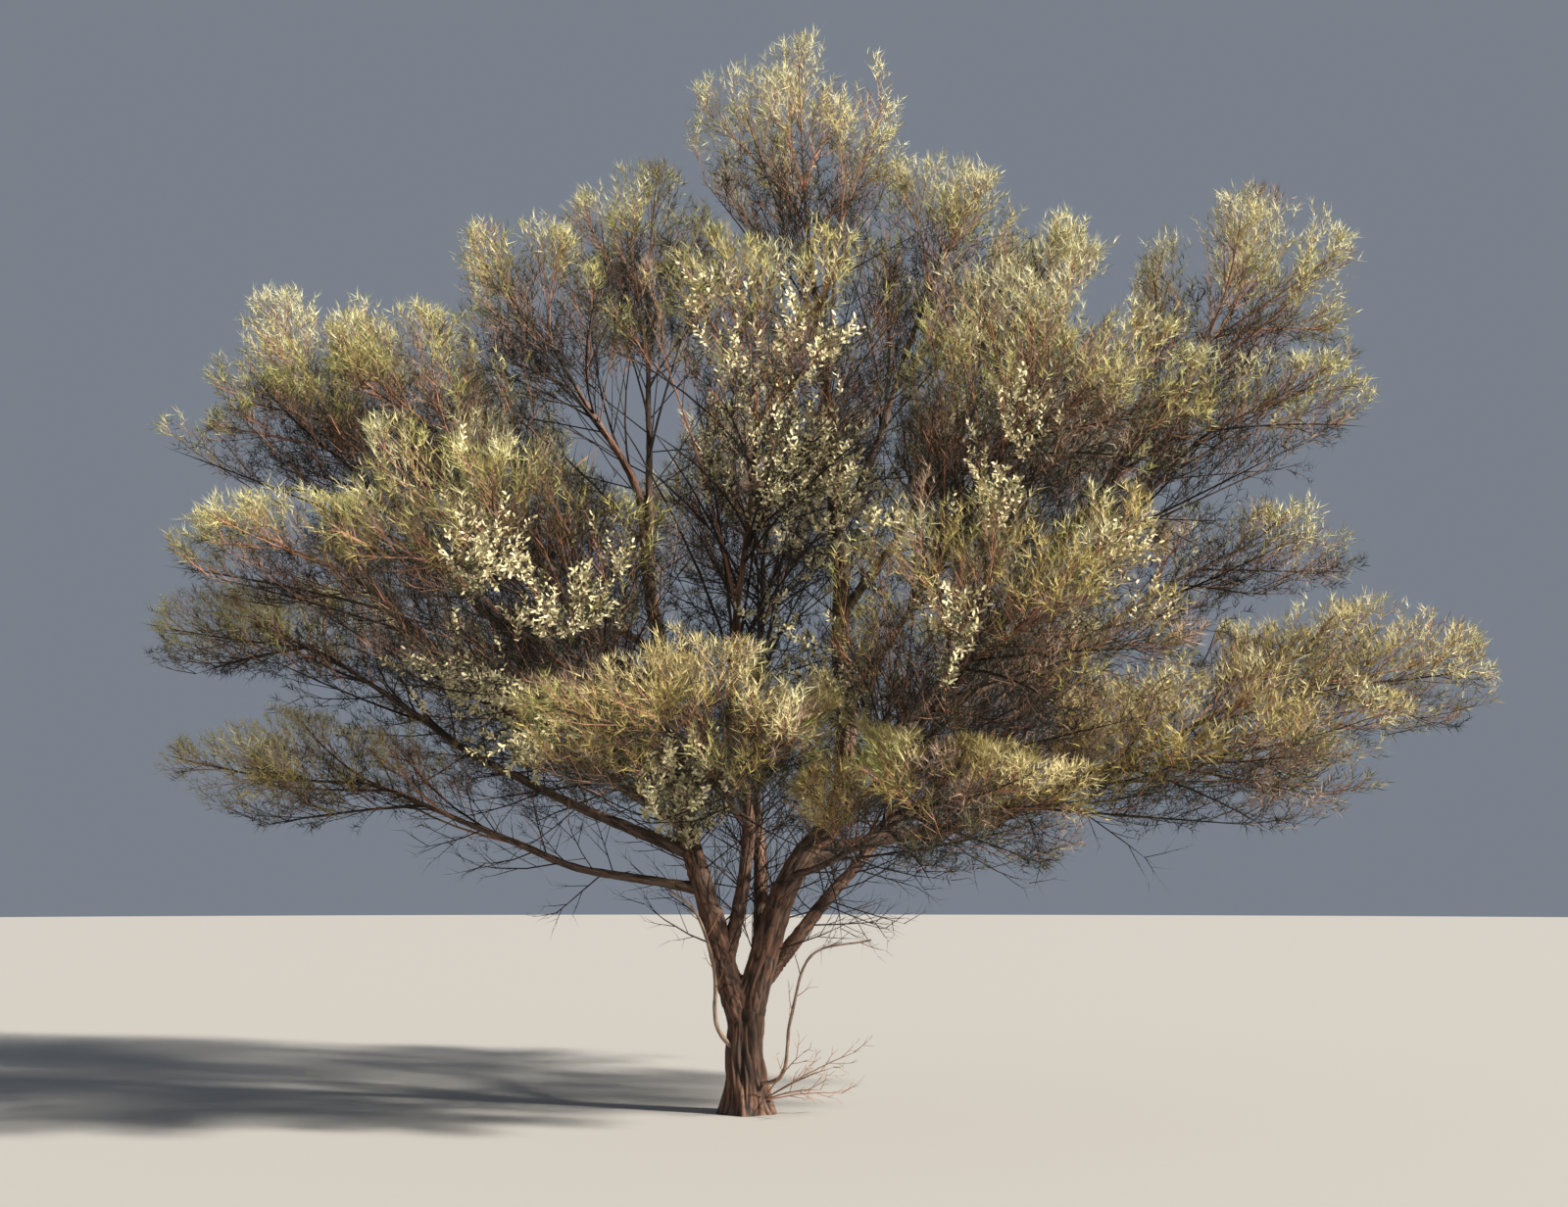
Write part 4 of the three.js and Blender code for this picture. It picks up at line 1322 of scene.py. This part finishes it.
def dressed_inside(twigs, chance, rng):
    """Some of the twigs inside the crown, which carry needles too, and the number of each one's colour."""
    green = twigs.take(rng.random(len(twigs)) < chance)
    # Their needles are painted darker, as shade inside the crown and as older needles.
    return green, needle_shades(green, mood_at(green.end) - INNER_PAINTED_SHADE, rng)


def dressed(twigs, rng):
    """The twigs that carry needles, dense at the top of each mass, and the number of each one's colour."""
    depth, height = place_in_mass(twigs)
    spray_mood, dry = spray_moods()
    mass_light_and_leafiness = np.array([MASS_PAINTED_LIGHT_AND_LEAFINESS.get(name, 0) for name in MASS_NAMES])
    # The mood adds the masses' painted sunlight and shade to the sprays' own random tone.
    mood = spray_mood[twigs.spray] + mass_light_and_leafiness[twigs.mass]
    by_depth, by_height, by_mood = LEAFY_WEIGHTS
    favour = by_depth * depth + by_height * height + by_mood * mood
    chance = LEAFY_LEAST + (1 - LEAFY_LEAST) * smoothstep(*LEAFY_RISE, favour)
    rows = rng.random(len(twigs)) < chance
    green = twigs.take(rows)
    shades = needle_shades(green, mood[rows], rng)
    shades[dry[green.spray]] = DRY_SHADE
    return green, shades


def of_part(twigs, part):
    """The twigs of one part of the crown."""
    masses = [MASS_NAMES.index(name) for name in CROWN_PARTS[part]]
    return twigs.take(np.isin(twigs.mass, masses))


def build_crown_part(part):
    """The twigs, the needles and, where there are any, the pale leaves of one part of the crown."""
    rng = np.random.default_rng(FIRST_PART_SEED + list(CROWN_PARTS).index(part))
    stems, branches, branchlets, twigs, bare = (of_part(order, part) for order in crown())
    nodes = ["foliage_" + name for name in CROWN_PARTS[part]]
    orders = (stems, branches, branchlets, twigs, bare)
    new_piece(twig_mesh("twigs_" + part, orders, CROWN_TUBES, rng), nodes)
    pale = carries_leaves(twigs.end, rng)
    outer, outer_shades = dressed(twigs.take(~pale), rng)
    inner, inner_shades = dressed_inside(bare, INNER_LEAFY, rng)
    shades = np.concatenate([outer_shades, inner_shades])
    build_needles("needles_" + part, gathered([outer, inner]), shades, nodes, rng)
    if pale.any():
        build_leaves("pale_leaves_" + part, twigs.take(pale), [], rng)


def build_needles(name, twigs, shades, nodes, rng):
    """Needles on the outer part of twigs, as one piece."""
    rows, feet, directions = blades_on(twigs, rng, each=settings_of("foliage").needles, **NEEDLE_STANCE)
    mass = twigs.mass[rows]
    facing = unit(unit((feet - MIDDLES[mass]) / SIZES[mass]) + FACES_UP * UP)
    new_piece(needle_mesh(name, feet, directions, facing, shades[rows], rng), nodes)


def build_leaves(name, twigs, nodes, rng):
    """Broad pale leaves on twigs, as one piece."""
    rows, feet, directions = blades_on(twigs, rng, each=settings_of("pale_leaves").leaves, **LEAF_STANCE)
    shades = rng.choice(LEAF_SHADES, len(twigs))[rows]
    new_piece(leaf_mesh(name, feet, directions, shades, rng), nodes)


def build_pale_clumps():
    """The three clumps of broad pale leaves, each with its own twigs."""
    rng = np.random.default_rng(CLUMP_SEED)
    for entry in PALE_CLUMPS:
        foot = limbs()[entry["start"]].place(entry["at"])
        middle = np.array(entry["middle"])
        end = foot + (middle - foot) * STEM_REACH
        stem = grown(foot[None], (foot[None] + end[None]) / 2, end[None], *CLUMP_STEM_RADII)
        axis = unit(unit(middle - foot) + UPWARD * UP)
        outward = fan_directions(axis, CLUMP_SHOOTS, rng)
        start = stem.take([0] * CLUMP_SHOOTS).place(rng.uniform(*CLUMP_ORIGINS, CLUMP_SHOOTS))
        tips = middle + outward * CLUMP_SIZE * rng.uniform(*CLUMP_REACHES, CLUMP_SHOOTS)[:, None]
        shoots = grown(start, (start + tips) / 2 - UP * CLUMP_SAG, tips, *CLUMP_SHOOT_RADII)
        twigs = offshoots(shoots, rng, **CLUMP_TWIGS)
        twigs = twigs.take(depth_in(twigs.end, middle, CLUMP_SIZE) < 1)
        twigs = twigs.take(clear_of_limbs(twigs.end))
        node = entry["name"]
        new_piece(twig_mesh("twigs_" + node, (stem, shoots, twigs), CLUMP_TUBES, rng), [node])
        build_leaves("leaves_" + node, twigs, [node], rng)


def frames_along(headings):
    """Directions across a line that turn as little as they can from one heading to the next."""
    side = across(headings[:1])[0][0]
    sides = []
    for heading in headings:
        side = unit(side - heading * np.dot(side, heading))
        sides.append(side)
    sides = np.array(sides)
    return sides, np.cross(headings, sides)


def bark_relief(places, radius):
    """How far the bark stands in from its outer surface, as a share from 0 to 1: long narrow furrows."""
    spacing = settings_of("bark").furrow_spacing * np.clip(radius / FURROW_RADIUS, *FURROW_SPACINGS)
    scaled = places / spacing[:, None] * np.array([1, 1, FURROW_DRAWN])
    furrows = np.abs(noise_at(scaled))
    fibres = noise_at(scaled * FIBRE_GRAIN + FIBRE_APART)
    plates = noise_at(scaled * PLATE_GRAIN + PLATE_APART)
    return np.clip(furrows * FURROW_STEEPNESS + FIBRE_SHARE * fibres + PLATE_SHARE * plates, 0, 1)


def furrow_depth_at(radius):
    """The depth of the furrows where a limb has this radius."""
    return settings_of("bark").furrow_depth * (radius / TRUNK_RADIUS) ** FURROW_POWER


def trunk_radius(share, angle):
    """The trunk's radius, whose foot spreads into lobes."""
    flare = FLARE * np.exp(-share * FORK_HEIGHT / FLARE_HEIGHT)
    lobes = 1 - LOBE_DEPTH * np.cos(ROOT_LOBES * angle)
    return TRUNK_RADIUS + (FORK_RADIUS - TRUNK_RADIUS) * share + flare * lobes


def straight_places(radius, turn, along):
    """Places on a limb as if it ran straight up, for the noise of its bark."""
    return np.stack([radius * np.cos(turn), radius * np.sin(turn), along], axis=-1)


def tube_caps(rings, sides):
    """Three-sided faces that close a tube at both ends, on the two corners that follow its own."""
    total = rings * sides
    j = np.arange(sides)
    after = (j + 1) % sides
    last = total - sides
    foot = np.stack([after, j, np.full(sides, total)], axis=1)
    tip = np.stack([last + j, last + after, np.full(sides, total + 1)], axis=1)
    return np.concatenate([foot, tip])


def limb_tube(limb, shares, sides, radius_at):
    """A tube along a limb: its corners, their directions out and radii, straightened places and faces."""
    middles = limb.place(shares)
    headings = limb.heading(shares)
    side, other = frames_along(headings)
    angle = FULL_TURN * np.arange(sides) / sides
    radius = np.broadcast_to(radius_at(shares[:, None], angle[None, :]), (len(shares), sides))
    ring = np.cos(angle)[None, :, None] * side[:, None] + np.sin(angle)[None, :, None] * other[:, None]
    corners = middles[:, None] + ring * radius[..., None]
    along = shares * limb.length + limb.offset
    turn = angle[None, :] + BARK_TWIST * along[:, None]
    straight = straight_places(radius, turn, np.broadcast_to(along[:, None], radius.shape))
    k = np.arange(len(shares) - 1)[:, None] * sides
    j = np.arange(sides)[None, :]
    after = (j + 1) % sides
    faces = np.stack([k + j, k + after, k + sides + after, k + sides + j], axis=-1).reshape(-1, 4)
    return corners, ring, radius, straight, faces


def bark_tube(limb, first, sides, step, collar):
    """A limb from a share of its length on, with its furrows: its tube, straightened places and relief."""
    shares = np.linspace(first, 1, max(LEAST_RINGS, int(limb.length * (1 - first) / step)))
    along = shares * limb.length * LUMP_GRAIN
    lumps = noise_at(np.stack([along, np.full_like(along, limb.offset), np.zeros_like(along)], axis=1))
    rough = 1 + LUMPS * lumps

    def radius_at(share, angle):
        swell = 1 + collar * np.exp(-share * limb.length / (COLLAR_FADE * limb.foot))
        return limb.radius(share) * swell * rough[:, None]

    corners, outward, radius, straight, faces = limb_tube(limb, shares, sides, radius_at)
    straight = straight.reshape(-1, 3)
    relief = bark_relief(straight, radius.ravel())
    risen = smoothstep(first, first + TUCKED_LENGTH / limb.length, shares)[:, None] if first > 0 else 1.0
    sunk = (relief.reshape(radius.shape) - 1) * furrow_depth_at(radius) - (1 - risen) * TUCKED_IN
    corners = (corners + outward * sunk[..., None]).reshape(-1, 3)
    tube = (np.vstack([corners, limb.place(shares[[0, -1]])]), faces, tube_caps(*radius.shape))
    return tube, np.vstack([straight, straight[[0, -1]]]), np.concatenate([relief, CAP_RELIEF])


def build_bark(name, tubes, material, nodes):
    """Limbs with relief as one piece."""
    tubes, straights, reliefs = zip(*tubes)
    corners, groups = joined(tubes)
    mesh = mesh_of(name, corners, groups, [material], smooth=True)
    add_bark_places(mesh, np.concatenate(straights), np.concatenate(reliefs))
    new_piece(mesh, nodes)


def add_bark_places(mesh, straight, depth):
    """Stores what the bark's material reads: the straightened place and the depth of each corner."""
    place = mesh.attributes.new("bark_place", "FLOAT_VECTOR", "POINT")
    place.data.foreach_set("vector", straight.astype(np.float32).ravel())
    relief = mesh.attributes.new("bark_depth", "FLOAT", "POINT")
    relief.data.foreach_set("value", depth.astype(np.float32))


def share_at_height(limb, height):
    """The share of a limb's length at which it first reaches a height."""
    above = np.nonzero(limb.line[:, 2] > height)[0]
    return above[0] / (len(limb.line) - 1) if len(above) else 1.0


def fused_tube(limb, top, radius_at, bottom=0.0):
    """The plain tube of a limb up to a share of its length, for the fused skin."""
    corners, _, _, _, faces = limb_tube(limb, np.linspace(0, top, SKIN_RINGS), SKIN_SIDES, radius_at)
    corners[0, :, 2] -= bottom
    ends = np.stack([corners[0].mean(axis=0), corners[-1].mean(axis=0)])
    return np.concatenate([corners.reshape(-1, 3), ends]), faces, tube_caps(SKIN_RINGS, SKIN_SIDES)


def fused_tubes():
    """The tubes that the fused skin is made from: the trunk and the feet of the stems."""
    def trunk_at(share, angle):
        return trunk_radius(share, -angle)

    tubes = [fused_tube(limbs()["trunk"], 1.0, trunk_at, bottom=SKIN_BELOW_GROUND)]
    for name in FUSED_LIMBS:
        limb = limbs()[name]
        top = share_at_height(limb, FUSED_TOP)

        def radius_at(share, angle, limb=limb, top=top):
            closed = 1 - CLOSING * smoothstep(top - CLOSING_LENGTH / limb.length, top, share)
            return limb.radius(share) * closed

        tubes.append(fused_tube(limb, top, radius_at))
    return tubes


def values_of(items, key, each, kind):
    """What a mesh holds for its items, with so many values for each."""
    values = np.zeros(len(items) * each, kind)
    items.foreach_get(key, values)
    return values


def fused_skin():
    """The trunk and the feet of the stems fused into one even mesh: corners, normals and faces."""
    corners, groups = joined(fused_tubes())
    mesh = mesh_of("fused", corners, groups, [])
    body = bpy.data.objects.new("fused", mesh)
    bpy.context.scene.collection.objects.link(body)
    remesh = body.modifiers.new("even", "REMESH")
    remesh.mode = "VOXEL"
    remesh.voxel_size = settings_of("bark").trunk_grid
    body.modifiers.new("soften", "SMOOTH").iterations = SKIN_SMOOTHINGS
    even = bpy.data.meshes.new_from_object(body.evaluated_get(bpy.context.evaluated_depsgraph_get()))
    bpy.data.objects.remove(body)
    bpy.data.meshes.remove(mesh)
    places = values_of(even.vertices, "co", 3, np.float32).reshape(-1, 3).astype(float)
    normals = values_of(even.vertices, "normal", 3, np.float32).reshape(-1, 3).astype(float)
    faces = values_of(even.loops, "vertex_index", 1, np.int32).reshape(-1, 4)
    bpy.data.meshes.remove(even)
    return places, normals, faces


def straightened(places):
    """The straightened places and radii of places on the fused skin, and how far off the next limb is."""
    made = limbs()
    best = np.full(len(places), np.inf)
    second = np.full(len(places), np.inf)
    straight = np.zeros_like(places)
    radii = np.zeros(len(places))
    for name in ["trunk", *FUSED_LIMBS]:
        limb = made[name]
        top = 1.0 if name == "trunk" else share_at_height(limb, FUSED_TOP + FUSED_MARGIN)
        shares = np.linspace(0, top, SKIN_LINE_PLACES)
        line = limb.place(shares)
        headings = limb.heading(shares)
        side, other = frames_along(headings)
        gap = np.linalg.norm(places[:, None] - line[None], axis=-1)
        nearest = gap.argmin(axis=1)
        distance = gap[np.arange(len(places)), nearest]
        radius = limb.radius(shares[nearest])
        score = distance - radius
        out = places - line[nearest]
        angle = np.arctan2(np.sum(out * other[nearest], axis=1), np.sum(out * side[nearest], axis=1))
        along = shares[nearest] * limb.length + limb.offset
        own = straight_places(radius, angle + BARK_TWIST * along, along)
        better = score < best
        second = np.where(better, best, np.minimum(second, score))
        best = np.where(better, score, best)
        straight[better] = own[better]
        radii[better] = radius[better]
    return straight, radii, second - best


def build_trunk():
    """The trunk with its fork: one skin with the bark's furrows, a deep fold and a flat cut at the ground."""
    places, normals, faces = fused_skin()
    straight, radii, apart = straightened(places)
    relief = bark_relief(straight, radii)
    calm = smoothstep(0.0, MEETING_ROOM, apart)
    sunk = (relief - 1) * furrow_depth_at(radii) * (MEETING_FURROWS + (1 - MEETING_FURROWS) * calm)
    angle = np.arctan2(places[:, 1], places[:, 0])
    fold = np.exp(-((angle - FOLD_ANGLE) / FOLD_WIDTH) ** 2) * smoothstep(*FOLD_START, places[:, 2])
    fold *= 1 - smoothstep(*FOLD_END, places[:, 2])
    sunk -= FOLD_DEPTH * fold
    places = places + normals * sunk[:, None]
    places[:, 2] = np.maximum(places[:, 2], 0)
    mesh = mesh_of("bark_trunk", places, [faces], [shared_bark("trunk")], smooth=True)
    # The fold takes the furrows' dark colour, as painted shade in the fold.
    add_bark_places(mesh, straight, relief * (1 - FOLD_PAINTED_SHADE * fold))
    new_piece(mesh, ["trunk"])


@lru_cache(maxsize=None)
def shared_bark(kind):
    """The bark's material for the trunk, the boughs or the dead wood, made once."""
    s = settings_of("bark")
    if kind == "dead":
        return bark_material("dead_wood", DEAD_FURROW, tuple(s.dead), DEAD_RIDGE)
    if kind == "bough":
        return bark_material("bough_bark", tuple(s.furrow), BOUGH_FIBRE, BOUGH_RIDGE)
    return bark_material("trunk_bark", tuple(s.furrow), tuple(s.fibre), tuple(s.ridge))


def build_stems():
    """The main stems above the fused fork, each a piece of its own."""
    for name in FUSED_LIMBS:
        limb = limbs()[name]
        first = share_at_height(limb, FUSED_TOP - FUSED_OVERLAP)
        sides = max(STEM_LEAST_SIDES, int(FULL_TURN * limb.foot / STEM_SIDE))
        tube = bark_tube(limb, first, sides, **STEM_TUBE)
        build_bark("bark_" + name, [tube], shared_bark("trunk"), [name])


def build_boughs():
    """The boughs with their bark, joined by the side of the tree that they grow on."""
    for side, names in BOUGH_GROUPS.items():
        tubes = [bark_tube(limbs()[name], 0.0, **BOUGH_TUBE) for name in names]
        nodes = ["bough_" + name for name in names]
        build_bark("bark_boughs_" + side, tubes, shared_bark("bough"), nodes)


def build_dead_limbs():
    """The two dead limbs, bare and weathered, with a few broken twigs, and the shoots at the trunk's foot."""
    names = [entry["name"] for entry in DEAD_LIMBS]
    tubes = [bark_tube(limbs()[name], 0.0, **DEAD_TUBE) for name in names]
    build_bark("bark_dead_limbs", tubes, shared_bark("dead"), names)
    rng = np.random.default_rng(DEAD_SEED)
    groups = []
    for name in names:
        shoots = side_shoots(limbs()[name], rng, **DEAD_SHOOTS)
        groups += [shoots, offshoots(shoots, rng, **DEAD_FORKS)]
    start = FOOT_SHOOTS_FROM + FOOT_SHOOTS_LEAVE * (FOOT_SHOOTS - FOOT_SHOOTS_FROM)
    bend = (start + FOOT_SHOOTS) / 2 + FOOT_SHOOTS_ARCH * UP
    shoots = grown(start, bend, FOOT_SHOOTS, *FOOT_SHOOT_RADII)
    forks = offshoots(shoots, rng, **FOOT_FORKS)
    twigs = gathered([*groups, shoots, forks, offshoots(forks, rng, **FOOT_LAST)])
    twigs = twigs.take((twigs.end[:, 2] > GROUND_ROOM) & (twigs.bend[:, 2] > GROUND_ROOM))
    new_piece(twig_mesh("twigs_dead_limbs", [twigs], DEAD_TWIG_TUBES, rng), [])


def side_shoots(limb, rng, count, span, length, radius, lean):
    """Shoots on the sides of a limb, between two shares of it, and longer inside the crown."""
    share = span[0] + (span[1] - span[0]) * (np.arange(count) + rng.random(count)) / count
    turn = rng.uniform(0, FULL_TURN) + np.arange(count) * GOLDEN_ANGLE
    heading = limb.heading(share)
    aside = turned(turn, *across(heading))
    direction = unit(turned(lean * rng.uniform(*SHOOT_LEANS, count), heading, aside))
    start = limb.place(share) + aside * (limb.radius(share) * SHOOT_FOOT)[:, None]
    inside = 1 - smoothstep(*INNER_ZONE, depth_in(start, CROWN_MIDDLE, CROWN_SIZE))
    reach = ((length + INNER_LONGER * inside) * rng.uniform(*SHOOT_LENGTHS, count))[:, None]
    bend = start + direction * reach / 2
    end = bend + unit(direction + SHOOT_RISE * UP + rng.normal(0, SHOOT_SPREAD, (count, 3))) * reach / 2
    return grown(start, bend, end, radius, radius / 2)


def build_limb_twigs():
    """Side twigs on stems and boughs: a dark net, bare under the crown and with some leaves inside it."""
    rng = np.random.default_rng(SHOOT_SEED)
    shoots = []
    for mass, entry in enumerate(CARRIERS):
        limb = limbs()[entry["name"]]
        each_metre = STEM_SHOOTS if entry in STEMS else BOUGH_SHOOTS
        made = [side_shoots(limb, rng, count=int(limb.length * each_metre), **LIMB_SHOOTS)]
        if entry in STEMS:
            low = share_at_height(limb, THICKET_TOP)
            made.append(side_shoots(limb, rng, span=(low * THICKET_START, low), **THICKET_SHOOTS))
        for group in made:
            group.mass[:] = mass
        shoots += made
    shoots = gathered(shoots)
    shoots = shoots.take(~in_clearings(shoots.end))
    forks = offshoots(shoots, rng, **LIMB_FORKS)
    forks = forks.take(~in_clearings(forks.end))
    last = offshoots(forks, rng, **LIMB_LAST)
    mesh = twig_mesh("twigs_on_limbs", (shoots, forks, last), LIMB_TWIG_TUBES, rng)
    new_piece(mesh, [])
    pale = carries_leaves(last.end, rng)
    build_leaves("pale_leaves_on_limbs", last.take(pale), [], rng)
    chance = LIMB_LEAFY * smoothstep(*LIMB_LEAFY_FROM, last.end[~pale, 2])
    green, shades = dressed_inside(last.take(~pale), chance, rng)
    build_needles("needles_on_limbs", green, shades, [], rng)


def build_floor():
    """A plain pale floor."""
    s = settings_of("stage")
    turn = FULL_TURN * np.arange(FLOOR_SIDES) / FLOOR_SIDES
    rim = np.stack([np.cos(turn), np.sin(turn), np.zeros(FLOOR_SIDES)], axis=1) * s.floor_radius
    shader = Shader("floor", Base_Color=opaque(s.floor_colour), Roughness=FLOOR_ROUGHNESS)
    mesh = mesh_of("floor", rim, [np.arange(FLOOR_SIDES)[None, :]], [shader.material])
    floor = bpy.data.objects.new("floor", mesh)
    bpy.context.scene.collection.objects.link(floor)


def build_lights():
    """Soft bluish light all round, and a warm key light from the right of the front."""
    world = bpy.data.worlds.new("studio")
    world.use_nodes = True
    background = world.node_tree.nodes["Background"]
    background.inputs["Color"].default_value = opaque(settings_of("stage").sky_colour)
    background.inputs["Strength"].default_value = SKY_STRENGTH
    bpy.context.scene.world = world
    key = bpy.data.lights.new("key", "SUN")
    key.energy = KEY_STRENGTH
    key.angle = KEY_WIDTH
    key.color = KEY_COLOUR
    lamp = bpy.data.objects.new("key", key)
    lamp.rotation_mode = "QUATERNION"
    lamp.rotation_quaternion = Vector(KEY_FROM).to_track_quat("Z", "Y")
    bpy.context.scene.collection.objects.link(lamp)


def build_camera():
    """The camera at the photograph's viewing angle."""
    s = settings_of("stage")
    camera = bpy.data.cameras.new("camera")
    camera.sensor_width = SENSOR_WIDTH
    camera.lens = FOCAL_LENGTH
    camera.clip_end = FARTHEST_SEEN
    eye = bpy.data.objects.new("camera", camera)
    eye.location = (s.eye_side, -s.eye_distance, s.eye_height)
    eye.rotation_euler = (math.pi / 2 + CAMERA_TILT, 0, 0)
    bpy.context.scene.collection.objects.link(eye)
    bpy.context.scene.camera = eye
    bpy.context.scene.view_settings.view_transform = "Standard"


class ACACIA_OT_stage(bpy.types.Operator):
    """Adds the floor, the lights and the camera"""

    bl_idname = "acacia.stage"
    bl_label = "Stage"

    def execute(self, context):
        build_floor()
        build_lights()
        build_camera()
        return {"FINISHED"}


class ACACIA_OT_trunk(bpy.types.Operator):
    """Adds the trunk and its fork with furrowed bark"""

    bl_idname = "acacia.trunk"
    bl_label = "Trunk"

    def execute(self, context):
        build_trunk()
        return {"FINISHED"}


class ACACIA_OT_limbs(bpy.types.Operator):
    """Adds the stems, the boughs and their bare side twigs"""

    bl_idname = "acacia.limbs"
    bl_label = "Stems and Boughs"

    def execute(self, context):
        build_stems()
        build_boughs()
        build_limb_twigs()
        return {"FINISHED"}


class ACACIA_OT_dead_limbs(bpy.types.Operator):
    """Adds the two dead limbs at the foot of the tree"""

    bl_idname = "acacia.dead_limbs"
    bl_label = "Dead Limbs"

    def execute(self, context):
        build_dead_limbs()
        return {"FINISHED"}


class ACACIA_OT_foliage(bpy.types.Operator):
    """Adds the twigs and needles of one part of the crown"""

    bl_idname = "acacia.foliage"
    bl_label = "Foliage"

    part: bpy.props.EnumProperty(
        name="Part", description="Part of the crown", items=[(p, p.title(), "") for p in CROWN_PARTS])

    def execute(self, context):
        build_crown_part(self.part)
        return {"FINISHED"}


class ACACIA_OT_pale_clumps(bpy.types.Operator):
    """Adds the clumps of broad pale leaves"""

    bl_idname = "acacia.pale_clumps"
    bl_label = "Pale Clumps"

    def execute(self, context):
        build_pale_clumps()
        return {"FINISHED"}


class ACACIA_PT_panel(bpy.types.Panel):
    """Lists the steps that build the tree"""

    bl_idname = "ACACIA_PT_panel"
    bl_label = "Spreading Acacia"
    bl_space_type = "VIEW_3D"
    bl_region_type = "UI"
    bl_category = "Acacia"

    def draw(self, context):
        for step in ("stage", "trunk", "limbs", "dead_limbs", "pale_clumps"):
            self.layout.operator("acacia." + step)
        for part in CROWN_PARTS:
            self.layout.operator("acacia.foliage", text="Foliage: " + part).part = part


SETTINGS = {
    "acacia_bark": BarkSettings,
    "acacia_foliage": FoliageSettings,
    "acacia_pale_leaves": PaleLeafSettings,
    "acacia_stage": StageSettings,
}
CLASSES = [
    *SETTINGS.values(), ACACIA_OT_stage, ACACIA_OT_trunk, ACACIA_OT_limbs, ACACIA_OT_dead_limbs,
    ACACIA_OT_foliage, ACACIA_OT_pale_clumps, ACACIA_PT_panel,
]


def register():
    for cls in CLASSES:
        bpy.utils.register_class(cls)
    for name, cls in SETTINGS.items():
        setattr(bpy.types.Scene, name, bpy.props.PointerProperty(type=cls))


def unregister():
    for name in SETTINGS:
        delattr(bpy.types.Scene, name)
    for cls in reversed(CLASSES):
        bpy.utils.unregister_class(cls)


def main():
    """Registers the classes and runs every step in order."""
    register()
    bpy.ops.acacia.stage()
    bpy.ops.acacia.trunk()
    bpy.ops.acacia.limbs()
    bpy.ops.acacia.dead_limbs()
    bpy.ops.acacia.pale_clumps()
    for part in CROWN_PARTS:
        bpy.ops.acacia.foliage(part=part)


if __name__ == "__main__":
    main()
